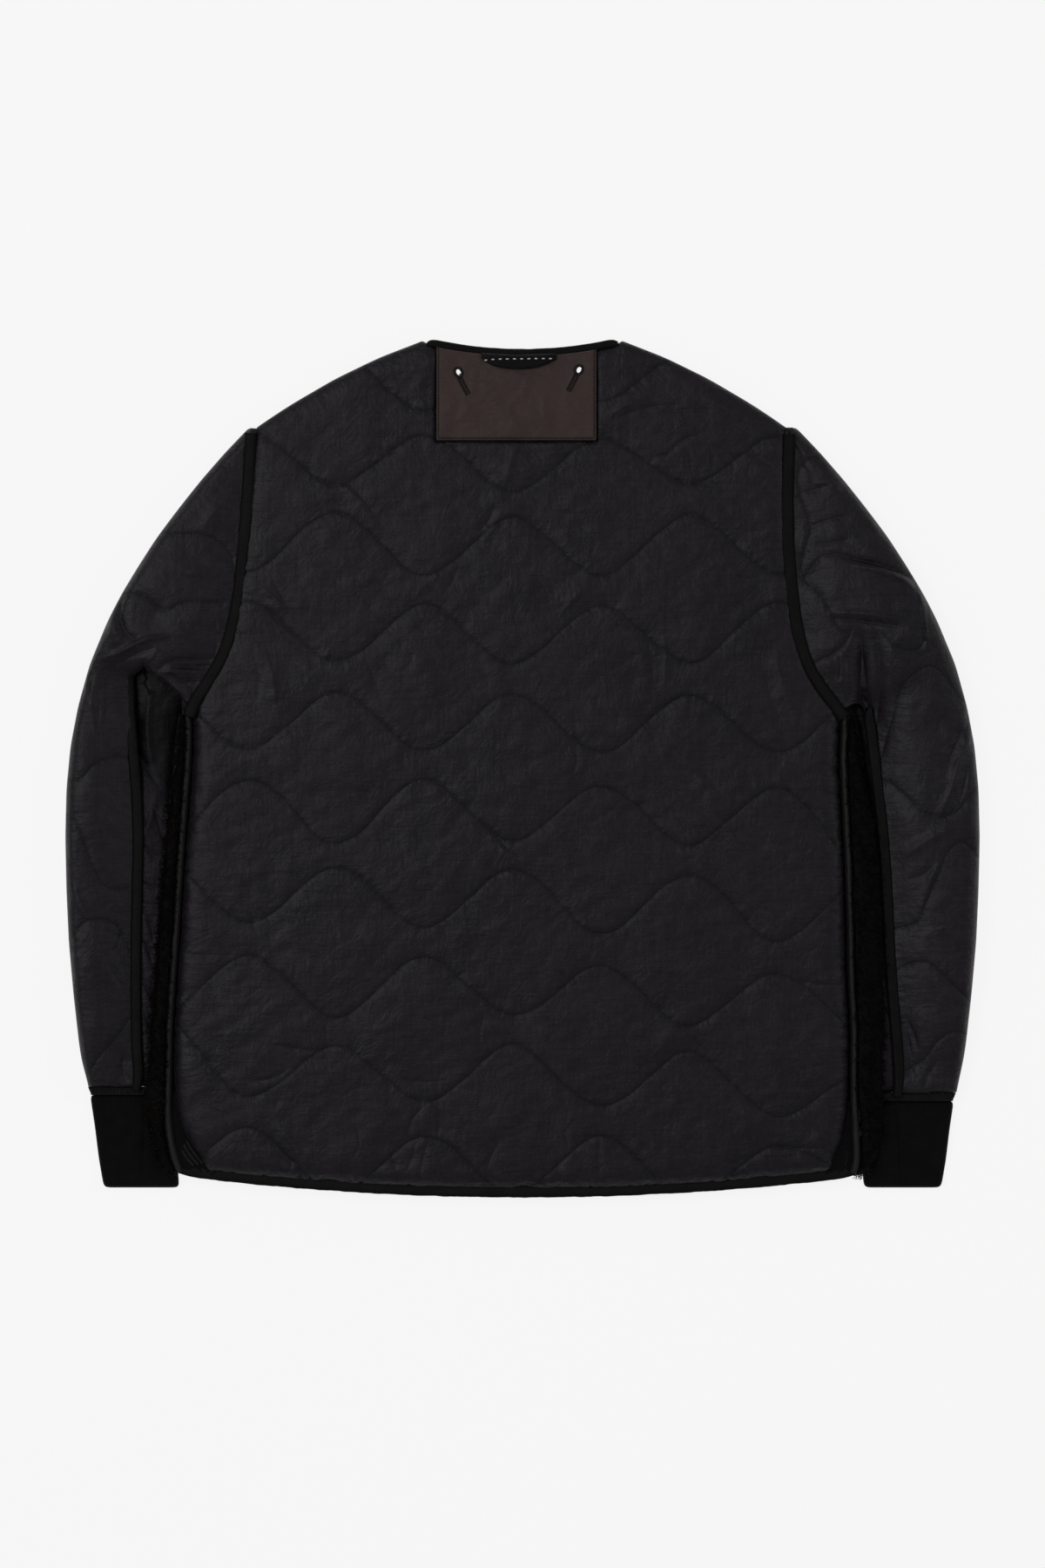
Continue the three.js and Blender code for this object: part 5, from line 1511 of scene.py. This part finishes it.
body_lines = []
for row in back_rows:
    body_lines += on_top(back, row, 0.05 * MM)
sewn("quilting_thread", body_lines, 2.9 * MM, (2.3 * MM, 0.5 * MM, 0.45 * MM), black_thread)
for side in ("left", "right"):
    sleeve_lines = []
    for row in sleeve_rows[side]:
        sleeve_lines += on_top(bpy.data.objects[f"sleeve_top_{side}_cloth"], row, 0.05 * MM)
    sewn(f"sleeve_thread_{side}", sleeve_lines, 2.9 * MM, (2.3 * MM, 0.5 * MM, 0.45 * MM), black_thread)
    for kind in ("armhole_binding", "sleeve_binding"):
        taped = bpy.data.objects[f"{kind}_{side}_tape"]
        centre, half, along = strip_of(f"{kind}_{side}", upright=True)
        across = np.stack([-along[:, 1], along[:, 0]], axis=1)
        beside = across * (half - 1.6 * MM)[:, None]
        edge_lines = on_top(taped, centre + beside, 0.05 * MM) + on_top(taped, centre - beside, 0.05 * MM)
        sewn(f"{kind}_thread_{side}", edge_lines, 2.8 * MM, (2.2 * MM, 0.45 * MM, 0.4 * MM), black_thread)


loose_elastic = {
    "left": [[(-289, -322), (-284, -331), (-276, -340)], [(-291.5, -325), (-287, -333), (-280, -341)],
             [(-293, -330), (-289, -337), (-284, -342)]],
    "right": [[(279, -330), (280, -336), (278, -342)]],
}
for side, pale in (("left", elastic), ("right", thread_finish("worn_elastic", (0.03, 0.03, 0.03)))):
    marks = []
    for places in loose_elastic[side]:
        marks += on_top(bpy.data.objects[f"hem_corner_{side}_cloth"], laid_row(*places), 0.1 * MM)
    sewn(f"hem_corner_elastic_{side}", marks, 1.5 * MM, (0.4 * MM, 1.7 * MM, 0.4 * MM), pale)


# The neck patch: thin smooth brown leather, topstitched on three sides, its top edge under the
# neck binding. A keyhole buttonhole, edged with thread, goes through it near each upper corner.
LEATHER = (0.0695, 0.0462, 0.042)
PATCH_THICK = 1.3 * MM
TOPSTITCH_IN = 1.7 * MM

patch_lines = lines_round("neck_patch")
patch_line = rounded_line(patch_lines[0], 1.4 * MM, 1.5 * MM, corner=40)
patch_holes = [rounded_line(line, 0.6 * MM, 0.8 * MM, corner=80) for line in patch_lines[1:]]
patch_edge = Course([ring(patch_line)])
patch_rest = resting_height("neck_patch", patch_line, patch_edge, np.full(len(patch_edge.points), 5 * MM))
sewn_sides = [(patch_low[0] + TOPSTITCH_IN, patch_high[1]), (patch_low[0] + TOPSTITCH_IN, patch_low[1] + TOPSTITCH_IN),
              (patch_high[0] - TOPSTITCH_IN, patch_low[1] + TOPSTITCH_IN), (patch_high[0] - TOPSTITCH_IN, patch_high[1])]
topstitch = even_line(np.array([(x, y) for x, y in sewn_sides]), 0.8 * MM)
topstitching = Course([topstitch])
slits = [laid_row((-55.2, 338), (-52.5, 332), (-49.6, 326.5), (-46.6, 321)),
         laid_row((47.6, 340), (44.8, 334), (42.2, 329), (39.4, 324))]
slitting = Course(slits)
hole_edge = Course([ring(hole) for hole in patch_holes])
patch_creases = [
    ridge(3, 0.5, (6, 336), (3, 329), (-1, 321)),
    trough(3, 0.4, (10, 330), (6, 320), (2, 312)),
    ridge(3, 0.5, (-41, 334), (-43, 328), (-44, 320)),
    ridge(4, 0.5, (-44, 312), (-50, 306), (-56, 298)),
    ridge(4, 0.45, (-47, 352), (-50, 346), (-50, 338)),
    trough(5, 0.35, (-30, 345), (-38, 336), (-40, 326)),
    ridge(5, 0.4, (-66, 300), (-60, 312), (-58, 322)),
    ridge(4, 0.35, (36, 316), (40, 308), (46, 300)),
    ridge(5, 0.3, (20, 300), (19, 312), (20, 322)),
]


def patch_height(x, y):
    away, _ = patch_edge.near(x, y)
    level = patch_rest(x, y) - 0.9 * MM + 0.9 * MM * smooth_rise(away, 1.4 * MM)
    sewn_down, _ = topstitching.near(x, y)
    level += 0.3 * MM * np.exp(-(sewn_down / (2.2 * MM)) ** 2) - 0.9 * MM * np.exp(-(sewn_down / (0.8 * MM)) ** 2)
    level += 1.8 * crease_relief(patch_creases, x, y) + 0.9 * MM * soft_noise(x, y, 22 * MM, 51, 3)
    slit_away, _ = slitting.near(x, y)
    level += 0.5 * MM * np.exp(-(slit_away / (4.2 * MM)) ** 2) - 1.1 * MM * np.exp(-(slit_away / (0.7 * MM)) ** 2)
    return level - 0.5 * MM * np.exp(-hole_edge.near(x, y)[0] / (1.0 * MM))


def leather(name, colour):
    """Fine-grained leather with a soft uneven shine and an uneven tone, with painted shade along the topstitching
    groove and a painted highlight along the raised rim.
    """
    finish, tree, shader = new_finish(name)
    place = shader_node(tree, "ShaderNodeTexCoord").outputs["Object"]
    cells = shader_node(tree, "ShaderNodeTexVoronoi", {"Vector": place, "Scale": 900.0}).outputs[0]
    raise_surface(tree, shader, summed(
        tree,
        math_node(tree, "MULTIPLY", cells, 0.05 * MM),
        noise_height(tree, place, 60, 0.9 * MM, 5.0, 0.6),
        noise_height(tree, scaled_vector(tree, place, (40, 110, 40)), 1.0, 1.1 * MM, 4.0, ridged=True),
    ))
    sizes = {"Vector": place, "Scale": 26, "Detail": 6.0, "Roughness": 0.6}
    mottle = shader_node(tree, "ShaderNodeTexNoise", sizes).outputs[0]
    tone = two_tones(tree, mottle, [0.86 * colour[0], 0.86 * colour[1], 0.9 * colour[2]],
                     [1.15 * colour[0], 1.12 * colour[1], 1.08 * colour[2]])
    # Painted shade along the topstitching groove and a painted highlight along the raised rim.
    sides = shader_node(tree, "ShaderNodeSeparateXYZ", {0: field_node(tree, "from_topstitch")}).outputs
    limits = {0: sides[1], 1: 0.35 * MM, 2: 1.0 * MM, 3: 0.45, 4: 1.0}
    topstitch_groove_shade = shader_node(tree, "ShaderNodeMapRange", limits).outputs[0]
    limits = {0: sides[2], 1: 0.6 * MM, 2: 1.4 * MM, 3: 1.2, 4: 1.0}
    rim_highlight = shader_node(tree, "ShaderNodeMapRange", limits).outputs[0]
    shown = {0: tone, "Scale": math_node(tree, "MULTIPLY", topstitch_groove_shade, rim_highlight)}
    shade = shader_node(tree, "ShaderNodeVectorMath", shown, operation="SCALE").outputs[0]
    tree.links.new(shade, shader.inputs["Base Color"])
    limits = {0: mottle, 1: 0.3, 2: 0.7, 3: 0.42, 4: 0.56}
    tree.links.new(shader_node(tree, "ShaderNodeMapRange", limits).outputs[0], shader.inputs["Roughness"])
    shader.inputs["Specular IOR Level"].default_value = 0.22
    return finish


near_detail = np.concatenate([line[::1] + offset for line in slits for offset in
                              [(dx * MM, dy * MM) for dx in (-1.5, -0.7, 0, 0.7, 1.5) for dy in (0,)]])
patch_points = plan_points(patch_line, [topstitch], 1.7 * MM, near_edge=0.5 * MM)
patch_points = np.concatenate([patch_points, near_detail + 0.011 * MM])
for hole in patch_holes:
    around = Course([ring(hole)])
    patch_points = patch_points[~inside(patch_points, hole)]
    patch_points = patch_points[around.near(patch_points[:, 0], patch_points[:, 1])[0] > 0.5 * MM]
patch_line[:, 2] = patch_height(patch_line[:, 0], patch_line[:, 1]) - 0.5 * MM
for hole in patch_holes:
    hole[:, 2] = patch_rest(hole[:, 0], hole[:, 1]) - 0.9 * MM
patch_form = closed_form(patch_line, patch_holes, patch_height,
                         lambda x, y: patch_rest(x, y) - PATCH_THICK - 0.5 * MM, patch_points,
                         plan_points(patch_line, [], 8 * MM))
patch_mesh = form_mesh("neck_patch_leather", patch_form)
patch_mesh.materials.append(leather("brown_leather", LEATHER))
patch_places = mesh_places(patch_mesh)
from_stitches, _ = topstitching.near(patch_places[:, 0], patch_places[:, 1])
from_rim, _ = patch_edge.near(patch_places[:, 0], patch_places[:, 1])
add_vectors(patch_mesh, "from_topstitch", [np.zeros_like(from_rim), from_stitches, from_rim])
patch = link_piece("neck_patch_leather", patch_mesh)

topstitch_piece = sewn("patch_topstitch", on_top(patch, topstitch, 0.4 * MM), 2.9 * MM,
                       (2.2 * MM, 0.9 * MM, 0.7 * MM), brown_thread)


def bars_round(lines, reach, pitch):
    """Short lines across other lines, for the satin stitches of a buttonhole."""
    bars = []
    for line in lines:
        line = even_line(line[:, :2], pitch)
        along = np.gradient(line, axis=0)
        along /= np.linalg.norm(along, axis=1)[:, None]
        across = np.stack([-along[:, 1], along[:, 0]], axis=1)
        bars += [np.array([p - a * reach, p + a * reach]) for p, a in zip(line, across)]
    return bars


def bar_piece(name, bars, surface, thick, thread):
    """Satin stitches as fine closed strips, each across the edge that it covers."""
    strips = []
    for k, bar in enumerate(bars):
        line = even_line(bar, np.linalg.norm(bar[1] - bar[0]) / 4)
        along = np.gradient(line, axis=0)
        along /= np.linalg.norm(along, axis=1)[:, None]
        base = surface(line[:, 0], line[:, 1]).max()
        bow = thick * (0.6 + 0.8 * np.sin(np.linspace(0, np.pi, len(line))))
        half = np.full(len(line), thick / 2)
        half[[0, -1]] *= 0.5
        strips.append(swept(line, half, along, base + bow - thick, base + bow, power=2, sides=5, seed=k % 7))
    mesh = strip_mesh(name, *strips)
    mesh.materials.append(thread)
    piece = link_piece(name, mesh)
    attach(piece, "root")
    return piece


edging = []
for slit, hole in zip(slits, sorted(patch_holes, key=lambda line: line[:, 0].mean())):
    along = np.gradient(slit, axis=0)
    along /= np.linalg.norm(along, axis=1)[:, None]
    across = np.stack([-along[:, 1], along[:, 0]], axis=1)
    edging += bars_round([slit + across * 1.5 * MM, slit - across * 1.5 * MM], 0.95 * MM, 0.55 * MM)
    middle = hole[:, :2].mean(0)
    rim = middle + (ring(hole)[:, :2] - middle) * 1.05
    edging += bars_round([rim], 1.3 * MM, 0.5 * MM)
buttonholes = bar_piece("buttonhole_thread", edging, patch_height, 0.55 * MM, edging_thread)
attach(patch, "root")
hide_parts("neck_patch")


# The hanger loop: a black satin ribbon let in under the neck binding, lying slack in a flat curve.
# A row of ten white stitches just under its upper edge holds it down.
RIBBON = (0.0042, 0.0042, 0.0042)
LOOP_LIFT = 3.6 * MM
LOOP_STITCH_PITCH = 5.8 * MM

ribbon = woven_tape("black_ribbon", RIBBON, across=300, along=1500, lift=0.1 * MM)
loop_under = laid_row((-35.5, 352), (-30.5, 348), (-25, 344.8), (-12, 342.6), (0, 342.1), (11, 343.4), (21, 346.4),
                      (29.5, 351))
loop_over = laid_row((29.5, 356.5), (10, 355.5), (-8, 355.2), (-24, 356), (-35.5, 357))
loop_line = rounded_line(np.concatenate([loop_under, loop_over]), 1.2 * MM, 1.0 * MM, corner=50)
loop_edge = Course([ring(loop_line)])


def loop_height(x, y):
    away, _ = loop_edge.near(x, y)
    bulge = np.clip((357 * MM - y) / (12 * MM), 0, 1)
    level = patch_height(x, y) + 1.0 * MM + LOOP_LIFT * np.sqrt(bulge) * smooth_rise(away, 3 * MM)
    return level + 0.25 * MM * soft_noise(x, y * 0.4, 7 * MM, 61, 2)


loop_line = np.column_stack([loop_line, patch_height(loop_line[:, 0], loop_line[:, 1]) + 0.9 * MM])
loop_form = closed_form(loop_line, [], loop_height, lambda x, y: patch_height(x, y) + 0.3 * MM,
                        plan_points(loop_line, [], 1.3 * MM), plan_points(loop_line, [], 4 * MM))
loop_mesh = form_mesh("hanger_loop_ribbon", loop_form)
loop_places = mesh_places(loop_mesh)
add_vectors(loop_mesh, "along_strip", [loop_places[:, 0], loop_places[:, 1], np.zeros(len(loop_places))])
loop_mesh.materials.append(ribbon)
loop = link_piece("hanger_loop_ribbon", loop_mesh)
loop_seam = laid_row((-31.5, 350.3), (-25, 351), (-15, 351.3), (0, 351.4), (12, 351.6), (24, 351.6))
loop_stitches = sewn("hanger_loop_stitches", on_top(loop, loop_seam, 0.3 * MM), LOOP_STITCH_PITCH,
                     (3.2 * MM, 1.3 * MM, 0.9 * MM), white_thread)
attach(loop, "root")
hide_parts("hanger_loop")


# The shearling: short, dense, dark curls with browner tips on a pelt. It shows along the open side
# of each front, between the body and the sleeve.
CURL_COUNT_SHARE = 0.42
PELT = (0.0045, 0.0038, 0.0035)


def curl_tree():
    """Geometry nodes that grow short curls on a pelt."""
    tree = bpy.data.node_groups.new("curls", "GeometryNodeTree")
    names = {
        "pelt": group_socket(tree, "Pelt", "NodeSocketGeometry"),
        "density": group_socket(tree, "Density", "NodeSocketFloat", 400000.0),
        "seed": group_socket(tree, "Seed", "NodeSocketInt", 4),
        "wool": group_socket(tree, "Wool", "NodeSocketMaterial"),
    }
    tree.interface.new_socket("Curls", in_out="OUTPUT", socket_type="NodeSocketGeometry")
    given = tree.nodes.new("NodeGroupInput")
    result = tree.nodes.new("NodeGroupOutput")
    spread = shader_node(tree, "GeometryNodeDistributePointsOnFaces", {"Mesh": given.outputs[0],
                                                                      "Density": given.outputs[1],
                                                                      "Seed": given.outputs[2]})
    spiral = shader_node(tree, "GeometryNodeCurveSpiral", {"Resolution": 7, "Rotations": 1.2,
                                                           "Start Radius": 0.5 * MM, "End Radius": 1.1 * MM,
                                                           "Height": 4.6 * MM})
    section = shader_node(tree, "GeometryNodeCurvePrimitiveCircle", {"Resolution": 3, "Radius": 0.26 * MM})
    strand = shader_node(tree, "GeometryNodeCurveToMesh", {0: spiral.outputs[0], 1: section.outputs[0]})
    strand.inputs["Fill Caps"].default_value = True
    lean = shader_node(tree, "FunctionNodeRandomValue", {0: (-0.9, -0.9, -3.1), 1: (0.9, 0.9, 3.1)},
                       data_type="FLOAT_VECTOR")
    lean.inputs["Seed"].default_value = 5
    lean_turn = shader_node(tree, "FunctionNodeEulerToRotation", {0: lean.outputs[0]})
    turned = shader_node(tree, "FunctionNodeRotateRotation", {0: spread.outputs["Rotation"],
                                                              1: lean_turn.outputs[0]}, rotation_space="LOCAL")
    size = shader_node(tree, "FunctionNodeRandomValue", {"Seed": 6}, data_type="FLOAT")
    size.inputs[2].default_value = 0.55
    size.inputs[3].default_value = 1.25
    laid = shader_node(tree, "GeometryNodeInstanceOnPoints", {"Points": spread.outputs[0],
                                                              "Instance": strand.outputs[0],
                                                              "Rotation": turned.outputs[0],
                                                              "Scale": size.outputs[1]})
    tone = shader_node(tree, "FunctionNodeRandomValue", {"Seed": 7}, data_type="FLOAT")
    marked = shader_node(tree, "GeometryNodeStoreNamedAttribute", {"Geometry": laid.outputs[0], "Name": "curl_tone",
                                                                   "Value": tone.outputs[1]},
                         domain="INSTANCE", data_type="FLOAT")
    real = shader_node(tree, "GeometryNodeRealizeInstances", {0: marked.outputs[0]})
    smooth = shader_node(tree, "GeometryNodeSetShadeSmooth", {0: real.outputs[0]})
    coated = shader_node(tree, "GeometryNodeSetMaterial", {"Geometry": smooth.outputs[0],
                                                           "Material": given.outputs[3]})
    tree.links.new(coated.outputs[0], result.inputs[0])
    return tree, names


def wool_finish(name, browner=0.0):
    finish, tree, shader = new_finish(name)
    place = shader_node(tree, "ShaderNodeTexCoord").outputs["Object"]
    own = shader_node(tree, "ShaderNodeAttribute", attribute_name="curl_tone").outputs["Fac"]
    sizes = {"Vector": scaled_vector(tree, place, (110, 26, 110)), "Scale": 1.0, "Detail": 4.0}
    patchy = shader_node(tree, "ShaderNodeTexNoise", sizes).outputs[0]
    height = shader_node(tree, "ShaderNodeSeparateXYZ", {0: place}).outputs[1]
    low_down = shader_node(tree, "ShaderNodeMapRange", {0: height, 1: -0.27, 2: -0.33, 3: 0.0, 4: 0.12}).outputs[0]
    mixed = summed(tree, math_node(tree, "MULTIPLY", own, 0.35), math_node(tree, "MULTIPLY", patchy, 0.9), low_down)
    mixed = math_node(tree, "ADD", mixed, browner)
    ramp = shader_node(tree, "ShaderNodeValToRGB", {0: mixed})
    ramp.color_ramp.elements[0].position = 0.5
    ramp.color_ramp.elements[0].color = (0.0013, 0.0011, 0.0011, 1)
    ramp.color_ramp.elements[1].position = 0.95
    ramp.color_ramp.elements[1].color = (0.036, 0.021, 0.0145, 1)
    middle = ramp.color_ramp.elements.new(0.74)
    middle.color = (0.0036, 0.0026, 0.0023, 1)
    tree.links.new(ramp.outputs[0], shader.inputs["Base Color"])
    raise_surface(tree, shader, noise_height(tree, place, 900, 0.2 * MM, 2.0))
    shader.inputs["Roughness"].default_value = 0.7
    shader.inputs["Specular IOR Level"].default_value = 0.12
    return finish


curls, curl_inputs = curl_tree()
wool = wool_finish("dark_wool")
for side, seed in (("left", 3), ("right", 8)):
    node = f"shearling_{side}"
    pelt_mesh = softened(node, 3 * MM, 3, 0.9 * MM, 7 * MM, seed=16)
    pelt_mesh.calc_loop_triangles()
    surface = sum(triangle.area for triangle in pelt_mesh.loop_triangles)
    made = grown_from(f"shearling_curls_{side}", pelt_mesh.copy(), curls, {
        curl_inputs["density"]: 2450 / surface, curl_inputs["seed"]: seed, curl_inputs["wool"]: wool})
    curl_piece = link_piece(f"shearling_curls_{side}", made)
    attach(curl_piece, "root")
    finished(f"shearling_pelt_{side}", pelt_mesh, node, wool)


# A last tuft of the right shearling hangs out past the end of its pelt.
brown_wool = wool_finish("brown_wool", browner=0.14)
tuft_line = laid_row((291, -318), (291.6, -332), (290.6, -343), (289.4, -350))
tuft = strip_mesh("tuft", swept(tuft_line, np.full(len(tuft_line), 3.0 * MM), directions(tuft_line), 9 * MM, 14 * MM))
made = grown_from("shearling_tuft_right", tuft.copy(), curls, {
    curl_inputs["density"]: 550000.0, curl_inputs["seed"]: 11, curl_inputs["wool"]: brown_wool})
tuft.materials.append(brown_wool)
for tuft_piece in (link_piece("shearling_tuft_right", made), link_piece("shearling_tuft_core_right", tuft)):
    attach(tuft_piece, "root")
